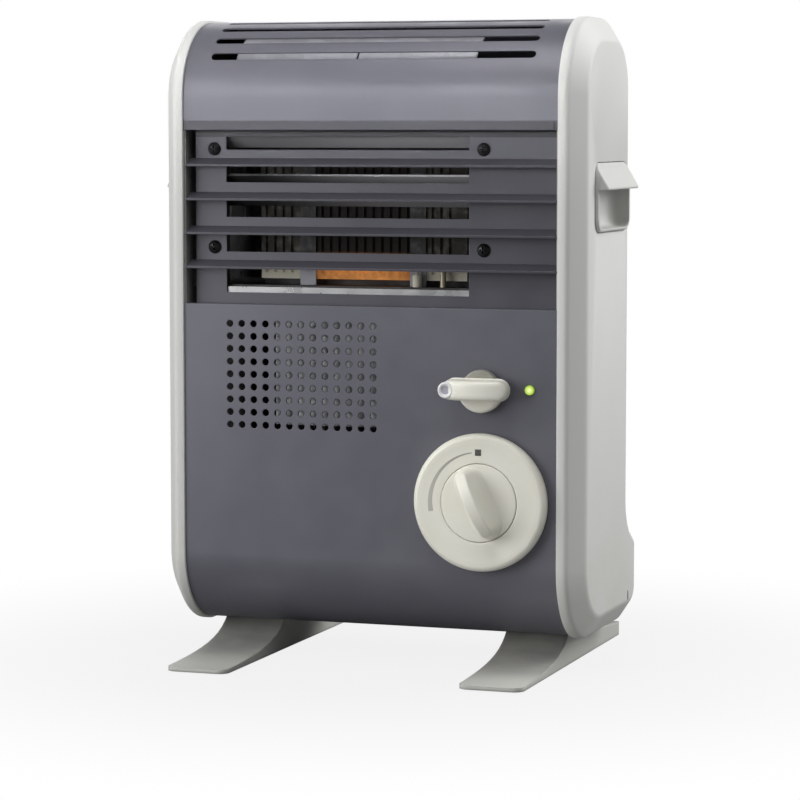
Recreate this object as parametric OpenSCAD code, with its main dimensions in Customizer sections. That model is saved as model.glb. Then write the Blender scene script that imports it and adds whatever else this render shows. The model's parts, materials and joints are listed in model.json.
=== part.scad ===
// Portable gas heater, millimetres. +X is the viewer's right, the front faces -Y, +Z is up.
// The origin is on the floor, at the middle of the width and of the feet's length.

/* [Body] */
// Width of the metal front panel between the two side covers
panel_w = 259; // [255:1:275]
// Height of the top of the side covers above the floor
total_h = 428; // [424:1:450]
// Clear height under the side covers
ground_gap = 21; // [19:0.5:22]
// Distance from the origin forward to the front rim of the side covers
front_y = 70.5; // [69:0.5:76]
// Distance from the origin back to the upper rear rim of the side covers
rear_y = 57.5; // [57:0.5:62]
// Distance from the origin back to the rear of the canister bulge
bulge_y = 81.5; // [80:0.5:86]
// Radius of the top front edge of the side covers
front_r = 52.5; // [45:0.5:56]
// Radius of the top rear edge of the side covers
rear_r = 46.5; // [38:0.5:48]
// Radius of the bottom front edge of the side covers
chin_r = 52; // [46:0.5:54]
// Radius under the canister bulge
heel_r = 24; // [22:0.5:25]
// Height where the bulge starts to swell out of the rear face
swell_top = 107; // [104:1:110]
// Height where the bulge is full
swell_bottom = 72; // [68:1:74]
// Thickness of the sheet metal
sheet_t = 1.2; // [0.8:0.1:1.4]

/* [Side covers] */
// How far the covers stand proud of the sheet metal all round
cover_proud = 1.5; // [1:0.1:2]
// Width of the straight rim of a cover, across the heater
rim_w = 6.3; // [4:0.1:8]
// Width of the bevel of a cover, across the heater
bevel_w = 10; // [6:0.5:12]
// How far the flat side face is inset from the rim, all round
bevel_inset = 15; // [10:0.5:16]
// Wall of a cover
cover_wall = 2.5; // [2:0.1:3]
// Length of a handle, front to back
handle_len = 80; // [70:1:90]
// Height of a handle
handle_h = 45; // [40:1:50]
// Height of the top of a handle above the floor
handle_top = 333.4; // [320:0.1:345]
// How far the handle's lip stands out of the side face
handle_lip = 8.7; // [6:0.1:12]
// Depth of the finger pocket behind the side face
pocket_depth = 22; // [18:0.5:24]

/* [Feet] */
// Length of a foot, front to back
foot_len = 244; // [236:1:260]
// Width of a foot
foot_w = 43; // [36:1:46]
// Distance between the inner edges of the two feet
foot_spacing = 158; // [150:1:162]
// Radius of a rubber pad
pad_r = 9; // [6:0.5:11]
// Height of a rubber pad
pad_h = 2.5; // [2:0.1:2.8]

/* [Louvre] */
// Height of the top hood's front, from its hem to the top of the heater
hood_h = 73.5; // [72:0.5:78]
// Height of the louvre section
louvre_h = 115; // [113:1:118]
// How far the louvre plate lies behind the front panel's face
louvre_depth = 9; // [7:0.5:10]
// Distance between two louvre blades
blade_pitch = 22.5; // [22:0.1:23]
// Width of the louvre slots
slot_w = 169; // [150:1:172]
// Height of a slot in the top hood
hood_slot_h = 5.5; // [4:0.1:6.5]
// Width of the slots in the top hood
hood_slot_w = 224; // [180:1:236]

/* [Controls] */
// Radius of the fixed dial plate
dial_r = 45; // [40:0.5:47]
// Radius of the turning knob
knob_r = 26; // [22:0.5:29]
// Height of the dial's centre, as a share of the height of the lower panel's top
dial_share = 0.478; // [0.46:0.002:0.5]
// Distance of the dial and the lever from the heater's middle
control_x = 79; // [78:0.5:80]
// Height of the lever's centre, as a share of the height of the lower panel's top
lever_share = 0.785; // [0.77:0.001:0.79]
// Length of the lever's grip bar
lever_len = 42; // [34:1:48]
// Distance of the lamp from the lever's centre
lamp_step = 32; // [28:0.5:34]
// How far the canister slides between set and released
set_travel = 7; // [5:0.5:8]

/* [Perforation] */
// Number of columns of air holes
hole_columns = 13; // [9:1:13]
// Number of rows of air holes
hole_rows = 9; // [6:1:9]
// Distance between two air holes
hole_pitch = 8.4; // [7:0.1:8.6]
// Radius of an air hole
hole_r = 2.35; // [1.5:0.05:2.8]

/* [Gas canister] */
// Radius of the canister
can_r = 33.5; // [32:0.1:34]
// Length of the canister's straight body
can_len = 171; // [160:1:173]
// Height of the canister's axis above the floor
can_z = 66; // [65:0.5:67]
// Distance of the canister's axis behind the origin
can_y = 38; // [37:0.5:39]

/* [Hidden] */

$fn = 48;
arc_steps = 12;
swell_steps = 8;
touch = 0.3;       // gap between pieces that lie loosely against each other
run_gap = 0.05;    // radial gap of a shaft in its bearing
edge_gap = 0.2;    // gap between a sheet's edge and the side covers

// Widths, measured from the middle of the heater
cover_in = panel_w / 2;
cover_rim = cover_in + rim_w;
cover_face = cover_rim + bevel_w;
sheet_half = cover_in - edge_gap;
side_out = cover_in - touch;
side_in = side_out - sheet_t;
inner_half = side_in - 0.1;

// Planes of the sheet metal
face_y = -front_y + cover_proud;
panel_back = face_y + sheet_t;
louvre_y = face_y + louvre_depth;
louvre_back = louvre_y + sheet_t;
rear_face = rear_y - cover_proud;
floor_z = ground_gap + cover_proud;
floor_top = floor_z + sheet_t;
hem_z = total_h - hood_h;
panel_top = hem_z - louvre_h;
chin_top = ground_gap + chin_r;
dial_z = panel_top * dial_share;
lever_z = panel_top * lever_share;
hood_y = -front_y + front_r;
hood_z = total_h - front_r;
rear_split = total_h - rear_r - 7;
skin = cover_proud;

// The bulge is an S of two equal arcs
swell_a = 2 * atan((bulge_y - rear_y) / (swell_top - swell_bottom));
swell_r = (swell_top - swell_bottom) / (2 * sin(swell_a));

// Louvre slots: bottom and top, measured from the bottom of the louvre section
slot_rows = [[7.5, 23.5], [34.5, 47.2], [57.5, 70], [80.5, 91.5], [102, 110.5]];
slot_mid = -17.5;
blade_first = 25;
blade_count = 4;
blade_drop = 4;
hood_rows = [32.5, 48, 63, 78];
rail_x = [slot_mid - slot_w / 2 - 8.5, slot_mid + slot_w / 2 + 10];
rail_w = 11;
screw_rows = [panel_top + 37.5, panel_top + 102.5];

// Burner, behind the louvre
burner_mid = -11;
burner_w = 144;
tray_z = panel_top + 11.3;
tray_top = tray_z + sheet_t;
box_top = tray_top + 86;
tile_y = louvre_y + 15;
tile_t = 7;
box_y = tile_y + tile_t;
box_back = box_y + 30;
tile_z = tray_top + 4;
glow_half = 33;
post_w = 11;
tube_y = box_y + 15;
tube_z = tray_top + 18;
tube_r = 9;
jet_x = burner_mid + burner_w / 2 + 38;
lead_y = louvre_y + 10.5;
spark_x = burner_mid + 39;
sensor_x = burner_mid + 57;

// Fan, behind the air holes
first_hole = [-96.4, panel_top - 12.7];
fan_x = -28.5;
fan_share = 72 / 239.5;
fan_h = panel_top * fan_share;
fan_z = panel_top - 7.5 - fan_h / 2;
fan_r = fan_h / 2 - 6;
fan_box = [fan_h + 4, fan_h];
fan_front = face_y + 7;
fan_back = fan_front + 72;
fan_top = fan_z + fan_box[1] / 2;
duct_y = [box_back + 1, box_back + 16.5];

// Canister bay
shelf_z = can_z + can_r + 8.5;
shelf_top = shelf_z + sheet_t;
wall_y = can_y - can_r - 7.5;
governor_len = 44.9;
governor_x = inner_half - governor_len;
neck_x = governor_x - 13;
base_x = neck_x - can_len;
can_tip = neck_x + 20;
arm_y = can_y - can_r - 2.5;
arm_t = 1.5;
strip_z = can_z - can_r - 3.5;
strip_half = 5;
crank_r = set_travel / sqrt(2);
crank_back = arm_y - 3.7;
hinge = [rear_y + 4.5, ground_gap + 17];
pin_r = 2;
door_top = swell_top + 21;
door_half = side_in - 0.4;

// Colours
pale = [0.83, 0.84, 0.82];
cream = [0.84, 0.84, 0.79];
slate = [0.38, 0.38, 0.41];
dark = [0.2, 0.2, 0.21];
steel = [0.66, 0.67, 0.68];
zinc = [0.55, 0.56, 0.57];
brass_tone = [0.75, 0.6, 0.3];

// Points on an arc from angle a0 to a1, without the first ones if it joins another arc
function arc(c, r, a0, a1, n, first = 0) =
    [for (i = [first:n]) let (a = a0 + (a1 - a0) * i / n) [c[0] + r * cos(a), c[1] + r * sin(a)]];

// Side outline of the heater in (y, z), moved inward by d
function outline(d) = concat(
    arc([hood_y, hood_z], front_r - d, 180, 90, arc_steps),
    arc([rear_y - rear_r, total_h - rear_r], rear_r - d, 90, 0, arc_steps),
    arc([rear_y + swell_r, swell_top], swell_r + d, 180, 180 + swell_a, swell_steps),
    arc([bulge_y - swell_r, swell_bottom], swell_r - d, swell_a, 0, swell_steps, 1),
    arc([bulge_y - heel_r, ground_gap + heel_r], heel_r - d, 0, -90, arc_steps),
    arc([-front_y + chin_r, ground_gap + chin_r], chin_r - d, -90, -180, arc_steps));

// Point on a cubic curve
function curve(p, t) = pow(1 - t, 3) * p[0] + 3 * t * pow(1 - t, 2) * p[1]
    + 3 * t * t * (1 - t) * p[2] + pow(t, 3) * p[3];

function unit(v) = v / norm(v);

// A route whose inner corners are rounded with radius r
function rounded(p, r) = concat([p[0]],
    [for (i = [1:len(p) - 2])
        let (a = unit(p[i - 1] - p[i]), b = unit(p[i + 1] - p[i]), t = r)
        for (k = [0:4]) let (s = k / 4)
            pow(1 - s, 2) * (p[i] + t * a) + 2 * s * (1 - s) * p[i] + s * s * (p[i] + t * b)],
    [p[len(p) - 1]]);

module block(lo, hi) {
    translate(lo) cube(hi - lo);
}

// Draws its children, given in (y, z), from x0 to x1
module along_x(x0, x1) {
    translate([x0, 0, 0]) rotate([90, 0, 90]) linear_extrude(x1 - x0) children();
}

// Draws its children, given in (x, z), from y0 to y1
module along_y(y0, y1) {
    translate([0, y1, 0]) rotate([90, 0, 0]) linear_extrude(y1 - y0) children();
}

module rod_x(x0, x1, y, z, r) {
    translate([x0, y, z]) rotate([0, 90, 0]) cylinder(h = x1 - x0, r = r);
}

module rod_y(x, y0, y1, z, r) {
    translate([x, y1, z]) rotate([90, 0, 0]) cylinder(h = y1 - y0, r = r);
}

module rod_z(x, y, z0, z1, r) {
    translate([x, y, z0]) cylinder(h = z1 - z0, r = r);
}

// Rectangle with round corners, centred
module rounded_box(w, h, r) {
    square([w - 2 * r, h], center = true);
    square([w, h - 2 * r], center = true);
    for (x = [-1, 1], y = [-1, 1])
        translate([x * (w / 2 - r), y * (h / 2 - r)]) circle(r);
}

// Slot with round ends, centred
module stadium(w, h) {
    square([w - h, h], center = true);
    for (x = [-1, 1]) translate([x * (w - h) / 2, 0]) circle(h / 2);
}

// Solid between outlines; each ring is [x, inset]
module loft(rings) {
    n = len(outline(0));
    points = [for (ring = rings) for (p = outline(ring[1])) [ring[0], p[0], p[1]]];
    sides = [for (k = [0:len(rings) - 2]) for (i = [0:n - 1])
        let (j = (i + 1) % n) [k * n + i, k * n + j, (k + 1) * n + j, (k + 1) * n + i]];
    first = [for (i = [n - 1:-1:0]) i];
    last = [for (i = [0:n - 1]) (len(rings) - 1) * n + i];
    polyhedron(points = points, faces = concat([first, last], sides));
}

// Tube along a route, with flat ends
module tube(route, r, sides = 8) {
    n = len(route);
    way = [for (i = [0:n - 1])
        unit(route[min(i + 1, n - 1)] - route[max(i - 1, 0)])];
    points = [for (i = [0:n - 1])
        let (ref = abs(way[i][2]) > 0.7 ? [1, 0, 0] : [0, 0, 1],
             u = unit(cross(way[i], ref)), v = cross(way[i], u))
        for (k = [0:sides - 1]) let (a = 360 * k / sides)
            route[i] + r * (cos(a) * u + sin(a) * v)];
    walls = [for (i = [0:n - 2]) for (k = [0:sides - 1])
        let (m = (k + 1) % sides) [i * sides + k, (i + 1) * sides + k,
            (i + 1) * sides + m, i * sides + m]];
    start = [for (k = [0:sides - 1]) k];
    end = [for (k = [sides - 1:-1:0]) (n - 1) * sides + k];
    polyhedron(points = points, faces = concat([start, end], walls));
}

// Part of the bent sheet between the side covers, kept where the children are, in (y, z)
module bent_sheet(inset, t, half) {
    along_x(-half, half) intersection() {
        difference() {
            polygon(outline(inset));
            polygon(outline(inset + t));
        }
        children();
    }
}

module base_plate() {
    color(zinc) bent_sheet(skin, sheet_t, sheet_half)
        translate([-front_y + chin_r + 8.8, 0]) square([rear_y + front_y - chin_r - 14, chin_top]);
}

// Side outline of a foot: a thin toe, a concave slope up to the body, and a low heel
foot_front = [[-foot_len / 2, 3.6], [-58, 5], [-28, 8], [-13, floor_z]];
foot_side = concat(
    [[-foot_len / 2, 1]],
    [for (i = [0:10]) curve(foot_front, i / 10)],
    [[rear_face - 1.5, floor_z], [rear_y + 3, 16.5], [rear_y + 9, 14], [foot_len / 2 - 3, 10],
        [foot_len / 2, 7], [foot_len / 2, 1]]);
foot_in = foot_spacing / 2;
pad_y = foot_len / 2 - 18;
foot_corner = 7;

module foot() {
    difference() {
        intersection() {
            along_x(foot_in, foot_in + foot_w) polygon(foot_side);
            translate([foot_in + foot_w / 2, 0, 0]) linear_extrude(floor_z + 1)
                rounded_box(foot_w, foot_len, foot_corner);
        }
        for (y = [-pad_y, pad_y]) rod_z(foot_in + foot_w / 2, y, -1, pad_h, pad_r + 0.1);
    }
}

module right_foot() {
    color(pale) foot();
}

module left_foot() {
    color(pale) mirror([1, 0, 0]) foot();
}

module foot_pads() {
    color(dark) for (side = [-1, 1], y = [-pad_y, pad_y])
        rod_z(side * (foot_in + foot_w / 2), y, 0, pad_h, pad_r);
}

// Screw bosses of a side cover, in (y, z)
boss_places = [[-38, 62], [26, 140], [-44, 240], [30, 255], [-30, total_h - 48], [18, total_h - 48]];
handle_mid = handle_top - handle_h / 2;

// The space a cover's wall encloses, from x0 to x1, when its outline is moved inward by d.
// The lofts run past both ends and are cut off flat.
module cover_form(x0, x1, d) {
    slope = bevel_inset / bevel_w;
    fold = cover_rim - 0.2 * d;
    intersection() {
        loft([[x0 - 1, d], [fold, d], [x1 + 1, d + (x1 + 1 - fold) * slope]]);
        block([x0, -front_y - 1, 0], [x1, bulge_y + 1, total_h + 1]);
    }
}

module side_cover() {
    difference() {
        cover_form(cover_in, cover_face, 0);
        cover_form(cover_in - 1, cover_face - cover_wall, cover_wall);
        along_x(cover_in, cover_face + 1) translate([0, handle_mid])
            rounded_box(handle_len + 2 * touch, handle_h + 2 * touch, 7);
    }
    for (place = boss_places) difference() {
        rod_x(side_out, cover_face - cover_wall + 0.2, place[0], place[1], 5);
        rod_x(side_out - 1, cover_face - cover_wall - 2, place[0], place[1], 1.6);
    }
}

module right_side_cover() {
    color(pale) side_cover();
}

module left_side_cover() {
    color(pale) mirror([1, 0, 0]) side_cover();
}

pocket_in = cover_face - pocket_depth;
lip_z = handle_top - 17.5;
handle_wall = 2;

// A grip moulded as a pocket in the side cover, with a hood that swells out over the fingers
module handle() {
    difference() {
        union() {
            along_x(pocket_in, cover_face) translate([0, handle_mid])
                rounded_box(handle_len, handle_h, 7);
            hull() {
                along_x(cover_face - 1, cover_face) translate([0, (handle_top + lip_z) / 2])
                    square([handle_len - 8, handle_top - lip_z], center = true);
                block([cover_face + handle_lip - 1.5, -handle_len / 2 + 14, lip_z],
                    [cover_face + handle_lip, handle_len / 2 - 14, lip_z + 2.5]);
            }
        }
        along_x(pocket_in + handle_wall, cover_face + 0.01) translate([0, handle_mid - 1])
            rounded_box(handle_len - 6, handle_h - 6, 5);
        hull() {
            block([cover_face - 1, -handle_len / 2 + 8, lip_z - 1],
                [cover_face, handle_len / 2 - 8, handle_top - 5]);
            block([cover_face + handle_lip - 4, -handle_len / 2 + 16, lip_z - 1],
                [cover_face + handle_lip - 3, handle_len / 2 - 16, lip_z + 1]);
        }
        block([cover_face, -handle_len / 2, lip_z - 30],
            [cover_face + handle_lip + 1, handle_len / 2, lip_z]);
    }
}

module right_handle() {
    color(pale) handle();
}

module left_handle() {
    color(pale) mirror([1, 0, 0]) handle();
}

rear_screw_x = sheet_half - 14;
rear_screw_z = [door_top + 14, rear_split - 12];

// Steel plate inside a side cover, which carries the sheets and the inner parts
module side_plate() {
    difference() {
        along_x(side_in, side_out) difference() {
            polygon(outline(skin + sheet_t + 0.2));
            translate([0, handle_mid]) rounded_box(handle_len + 3, handle_h + 3, 4);
        }
        for (place = boss_places) rod_x(side_in - 1, side_out + 1, place[0], place[1], 1.6);
    }
    difference() {
        block([rear_screw_x - 8, rear_face - 2 * sheet_t - 0.2, door_top + 1],
            [side_in, rear_face - sheet_t - 0.2, rear_split]);
        for (z = rear_screw_z) rod_y(rear_screw_x, 0, rear_face, z, 1.9);
    }
}

module right_side_plate() {
    color(zinc) side_plate();
}

module left_side_plate() {
    color(zinc) mirror([1, 0, 0]) side_plate();
}

module top_hood() {
    color(slate) difference() {
        bent_sheet(skin, sheet_t, sheet_half) {
            translate([-front_y, hem_z]) square([front_y, hood_h]);
            translate([-0.01, rear_split]) square([rear_y, total_h - rear_split]);
        }
        translate([0, hood_y, hood_z]) for (a = hood_rows) rotate([-a, 0, 0])
            along_y(-front_r - 1, -front_r + 8) stadium(hood_slot_w, hood_slot_h);
    }
    color(slate) bent_sheet(skin - 0.6, 0.6, sheet_half - 3)
        translate([-front_y, hem_z]) square([front_y, 5.8]);
}

baffle_r = front_r - skin - louvre_depth;

// Light sheet behind the hood's lowest slot
module top_baffle() {
    color(zinc) difference() {
        along_x(slot_mid - slot_w / 2 + 4, slot_mid + slot_w / 2 + 2)
            polygon(concat([[louvre_y, hem_z]],
                arc([hood_y, hood_z], baffle_r, 180, 110, arc_steps),
                arc([hood_y, hood_z], baffle_r - sheet_t, 110, 180, arc_steps),
                [[louvre_back, hem_z]]));
        block([-13.7, -front_y, hood_z + 8], [-12.2, hood_y, hood_z + 30]);
    }
}

module front_panel() {
    color(slate) difference() {
        along_y(face_y, panel_back) difference() {
            translate([-sheet_half, chin_top]) square([2 * sheet_half, panel_top - chin_top]);
            for (i = [0:hole_columns - 1], k = [0:hole_rows - 1])
                translate([first_hole[0] + i * hole_pitch, first_hole[1] - k * hole_pitch])
                    circle(hole_r);
            translate([control_x, dial_z]) circle(8);
            translate([control_x, lever_z]) circle(6);
            translate([control_x + lamp_step, lever_z]) circle(3.2);
        }
    }
    color(slate) bent_sheet(skin, sheet_t, sheet_half)
        translate([-front_y, 0]) square([chin_r + 8.5, chin_top]);
    color(slate) block([-inner_half, panel_back, panel_top - sheet_t],
        [inner_half, louvre_back, panel_top]);
}

module louvre_plate() {
    color(slate) along_y(louvre_y, louvre_back) difference() {
        translate([-sheet_half + 5.3, panel_top]) square([sheet_half - 5.3 + inner_half, louvre_h]);
        for (row = slot_rows)
            translate([slot_mid - slot_w / 2, panel_top + row[0]]) square([slot_w, row[1] - row[0]]);
        for (x = rail_x, z = screw_rows) translate([x, z]) circle(2.3);
    }
}

// One blade: a strip that slopes down to the front and ends in a small lip, in (y, z)
module blade_side() {
    lip = 1.5;
    polygon([[louvre_y, blade_drop], [face_y, 0], [face_y, -lip], [face_y + sheet_t, -lip],
        [face_y + sheet_t, -sheet_t], [louvre_y, blade_drop - sheet_t]]);
}

module louvre_blades() {
    color(slate) for (i = [0:blade_count - 1])
        translate([0, 0, panel_top + blade_first + i * blade_pitch])
            along_x(-inner_half, inner_half) blade_side();
}

fin_rows = [[66, 71.5], [79, 86], [104.5, 112]];
fin_y = [louvre_back + 1.3, louvre_back + 11];

// Sloping vanes behind the louvre slots, from rail to rail
module guide_fins() {
    color(zinc) for (row = fin_rows)
        along_x(rail_x[0] + rail_w / 2, rail_x[1] - rail_w / 2)
            polygon([[fin_y[0], panel_top + row[1]], [fin_y[1], panel_top + row[0]],
                [fin_y[1], panel_top + row[0] - sheet_t], [fin_y[0], panel_top + row[1] - sheet_t]]);
}

rail_depth = 11.8;

module louvre_rails() {
    color(zinc) difference() {
        for (x = rail_x) block([x - rail_w / 2, louvre_back, tray_top],
            [x + rail_w / 2, louvre_back + rail_depth, panel_top + louvre_h - 4]);
        for (x = rail_x, z = screw_rows) rod_y(x, louvre_back - 1, louvre_back + 9, z, 2.1);
    }
}

module louvre_screws() {
    head_r = 4.5;
    color(dark) for (x = rail_x, z = screw_rows) {
        difference() {
            rod_y(x, louvre_y - 2.4, louvre_y, z, head_r);
            block([x - 2.4, louvre_y - 3, z - 0.5], [x + 2.4, louvre_y - 1.2, z + 0.5]);
            block([x - 0.5, louvre_y - 3, z - 2.4], [x + 0.5, louvre_y - 1.2, z + 2.4]);
        }
        rod_y(x, louvre_y, louvre_back + 8, z, 2);
    }
}

grille_rows = 14;
grille_pitch = 13;

module rear_cover() {
    low = door_top + 0.6;
    color(slate) along_y(rear_face - sheet_t, rear_face) difference() {
        translate([-sheet_half, low]) square([2 * sheet_half, rear_split - edge_gap - low]);
        for (x = [-66, 0, 66], k = [0:grille_rows - 1])
            translate([x, low + 28 + k * grille_pitch]) stadium(54, 5);
        for (x = [-rear_screw_x, rear_screw_x], z = rear_screw_z) translate([x, z]) circle(2);
    }
}

module rear_screws() {
    color(zinc) for (x = [-rear_screw_x, rear_screw_x], z = rear_screw_z) {
        difference() {
            rod_y(x, rear_face, rear_face + 1.4, z, 4);
            block([x - 2.2, rear_face + 0.6, z - 0.4], [x + 2.2, rear_face + 2, z + 0.4]);
            block([x - 0.4, rear_face + 0.6, z - 2.2], [x + 0.4, rear_face + 2, z + 2.2]);
        }
        rod_y(x, rear_face - 8, rear_face, z, 1.8);
    }
}

feed_x = governor_x + 19;
strip_y = [16, 18];
strip_x = [25, 55];
arm_x = [control_x - 6, control_x + 6];

// Sheet that parts the canister bay from the burner side
module gas_divider() {
    color(zinc) difference() {
        union() {
            block([-inner_half, wall_y, floor_top], [inner_half, wall_y + sheet_t, shelf_z]);
            block([-inner_half, wall_y - 9, shelf_z], [inner_half, rear_face - 6, shelf_top]);
        }
        rod_y(feed_x, wall_y - 1, wall_y + 3, can_z, 3.6);
        block([arm_x[0] - set_travel - 1, arm_y - 1, shelf_z - 1], [arm_x[1] + 1, arm_y + arm_t + 1,
            shelf_top + 1]);
        block([strip_x[0] - 0.5, strip_y[0] - 0.5, shelf_z - 1],
            [strip_x[1] + 0.5, strip_y[1] + 0.5, shelf_top + 1]);
    }
}

duct_x = [fan_x - 31.5, fan_x + 33.5];
wire_x = fan_x - fan_box[0] / 2 - 8.5;

module burner_tray() {
    color(dark) difference() {
        block([-inner_half, louvre_back + 2.8, tray_z], [inner_half, 40, tray_top]);
        block([duct_x[0] + 1, duct_y[0] + 1, tray_z - 1], [duct_x[1] - 1, duct_y[1] - 1, tray_top + 1]);
        rod_z(spark_x, lead_y, tray_z - 1, tray_top + 1, 3.2);
        rod_z(sensor_x, lead_y, tray_z - 1, tray_top + 1, 2.2);
        rod_z(jet_x + 6, tube_y, tray_z - 1, tray_top + 1, 3.5);
        rod_z(wire_x, duct_y[0] + 5, tray_z - 1, tray_top + 1, 2.5);
    }
}

module burner_lip() {
    color(pale) {
        block([slot_mid - slot_w / 2, louvre_back, tray_z - 4.3],
            [slot_mid + slot_w / 2, louvre_back + sheet_t, tray_z]);
        block([slot_mid - slot_w / 2, louvre_back + sheet_t, tray_z - 1.2],
            [slot_mid + slot_w / 2, louvre_back + 6, tray_z]);
    }
}

module burner_box() {
    lo = burner_mid - burner_w / 2;
    hi = burner_mid + burner_w / 2;
    color(steel) difference() {
        block([lo, box_y, tray_top], [hi, box_back, box_top]);
        block([lo + 8, box_y - 1, tray_top + 8], [hi - 8, box_y + 1.5, box_top - 8]);
        block([lo + sheet_t, box_y + sheet_t, tray_top + sheet_t],
            [hi - sheet_t, box_back - sheet_t, box_top - sheet_t]);
        rod_x(hi - 3, hi + 1, tube_y, tube_z, tube_r + 0.1);
    }
}

// Ceramic burner tile with rows of small flame ports
module tile(x0, x1) {
    port_pitch = 6;
    columns = floor((x1 - x0 - 4) / port_pitch);
    difference() {
        block([x0, tile_y, tile_z], [x1, box_y, box_top - 2]);
        for (i = [0:columns - 1]) block([x0 + 3 + i * port_pitch, tile_y - 1, tile_z + 4],
            [x0 + 5 + i * port_pitch, tile_y + 1.5, box_top - 6]);
    }
}

module burner_plate() {
    color([0.85, 0.45, 0.2]) tile(burner_mid - glow_half - post_w / 2,
        burner_mid + glow_half + post_w / 2);
}

module burner_end_tiles() {
    reach = glow_half + post_w / 2;
    color(cream) {
        tile(burner_mid - burner_w / 2, burner_mid - reach);
        tile(burner_mid + reach, burner_mid + burner_w / 2);
    }
}

module burner_brackets() {
    color(steel) for (side = [-1, 1])
        translate([burner_mid + side * (glow_half + post_w / 2), 0, 0]) {
            block([-post_w / 2, tile_y - sheet_t, tray_top], [post_w / 2, tile_y, box_top - 2]);
        }
}

module mixing_tube() {
    hi = burner_mid + burner_w / 2;
    color(steel) difference() {
        union() {
            rod_x(hi - 2.5, jet_x, tube_y, tube_z, tube_r);
            rod_x(jet_x - 4, jet_x, tube_y, tube_z, tube_r + 2.5);
        }
        rod_x(hi - 4, jet_x + 1, tube_y, tube_z, tube_r - 1.2);
        for (a = [0, 90]) translate([0, tube_y, tube_z]) rotate([a, 0, 0])
            block([jet_x - 16, -4, -15], [jet_x - 6, 4, 15]);
    }
}

module injector() {
    color(brass_tone) {
        block([jet_x, tube_y - 10, tube_z - 9], [jet_x + 12, tube_y + 10, tube_z + 9]);
        rod_x(jet_x - 5, jet_x, tube_y, tube_z, 2);
    }
}

valve_y = [panel_back, panel_back + 33.8];
valve_mid_y = face_y + 23;
valve_low = dial_z - 14.5;
valve_high = dial_z + 14.5;

module feed_pipe() {
    color(brass_tone) tube(rounded([[feed_x, can_y - 33, can_z], [feed_x, valve_mid_y, can_z],
        [control_x, valve_mid_y, can_z], [control_x, valve_mid_y, valve_low]], 9), 3, 10);
}

module burner_pipe() {
    x0 = control_x + 10;
    x1 = jet_x + 6;
    color(brass_tone) tube(rounded([[x0, valve_mid_y, valve_high], [x0, valve_mid_y, valve_high + 16],
        [x1, valve_mid_y, valve_high + 16], [x1, valve_mid_y, tray_z - 16],
        [x1, tube_y, tray_z - 16], [x1, tube_y, tube_z - 9]], 7), 2, 8);
}

module governor() {
    color(zinc) difference() {
        union() {
            rod_x(governor_x, governor_x + 13, can_y, can_z, 22);
            rod_x(governor_x + 13, governor_x + 25, can_y, can_z, 30);
            rod_y(feed_x, can_y - 33, can_y - 15, can_z, 5);
            block([governor_x + 25, can_y - 14, can_z - 14], [inner_half, can_y + 12, can_z + 14]);
        }
        rod_x(governor_x - 1, governor_x + 4.5, can_y, can_z, 7.4);
        rod_x(governor_x, can_tip + 1, can_y, can_z, 2.3);
    }
}

module valve_body() {
    color(brass_tone) difference() {
        union() {
            block([control_x - 21, valve_y[0], dial_z - 16.5], [control_x + 21, valve_y[0] + 1.8,
                dial_z + 16.5]);
            rod_y(control_x, valve_y[0], valve_y[0] + 8, dial_z, 10);
            block([control_x - 15, valve_y[0] + 7.8, valve_low], [control_x + 15, valve_y[1], valve_high]);
        }
        rod_y(control_x, valve_y[0] - 1, valve_y[1] - 4, dial_z, 3 + run_gap);
    }
}

module igniter() {
    color(dark) block([control_x + 15, valve_y[0] + 9.8, valve_low],
        [control_x + 29, valve_y[0] + 25.8, valve_high + 3]);
}

// Spark electrode in its ceramic sleeve, with the lead from the igniter
module spark_electrode() {
    run_y = lead_y - 6.5;
    run_x = control_x + 21;
    color(cream) rod_z(spark_x, lead_y, tray_z - 6.8, tray_top + 8, 3);
    color(steel) rod_z(spark_x, lead_y, tray_top + 8, tray_top + 14, 0.9);
    color(dark) tube(rounded([[run_x, run_y, valve_high + 3], [run_x, run_y, tray_z - 24],
        [spark_x, run_y, tray_z - 24], [spark_x, lead_y, tray_z - 16],
        [spark_x, lead_y, tray_z - 6.8]], 4), 1.2);
}

// Flame sensor beside the burner, with its lead down to the valve
module thermocouple() {
    color(brass_tone) rod_z(sensor_x, lead_y, tray_z - 6.8, tray_top + 12, 2);
    color(brass_tone) tube(rounded([[sensor_x, lead_y, tray_z - 6.8], [sensor_x, lead_y, tray_z - 36],
        [control_x - 13, lead_y, tray_z - 36], [control_x - 13, lead_y, valve_high]], 6), 1);
}

sink_mid = burner_mid - 19;
sink_half = 30;
fin_t = 1.5;

module thermoelectric_module() {
    color(cream) block([sink_mid - 20, box_back, tray_top + 33],
        [sink_mid + 20, box_back + 4, tray_top + 73]);
}

module heat_sink() {
    fins = 10;
    color(steel) {
        block([sink_mid - sink_half, box_back + 4, tray_top + 23],
            [sink_mid + sink_half, box_back + 8, tray_top + 83]);
        for (i = [0:fins - 1]) let (x = sink_mid - sink_half + i * (2 * sink_half - fin_t) / (fins - 1))
            block([x, box_back + 8, tray_top + 23], [x + fin_t, box_back + 38, tray_top + 83]);
    }
}

motor_r = 12;

module module_wires() {
    z0 = tray_top + 33;
    y0 = duct_y[0] + 5;
    y1 = fan_back + 12;
    lead_x = sink_mid - 15;
    color([0.6, 0.1, 0.1]) tube(rounded([[lead_x, box_back + 2, z0], [lead_x, box_back + 2, z0 - 18],
        [wire_x, y0, z0 - 18], [wire_x, y0, fan_z], [wire_x, y1, fan_z],
        [fan_x - motor_r, y1, fan_z]], 6), 1.2);
}

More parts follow.
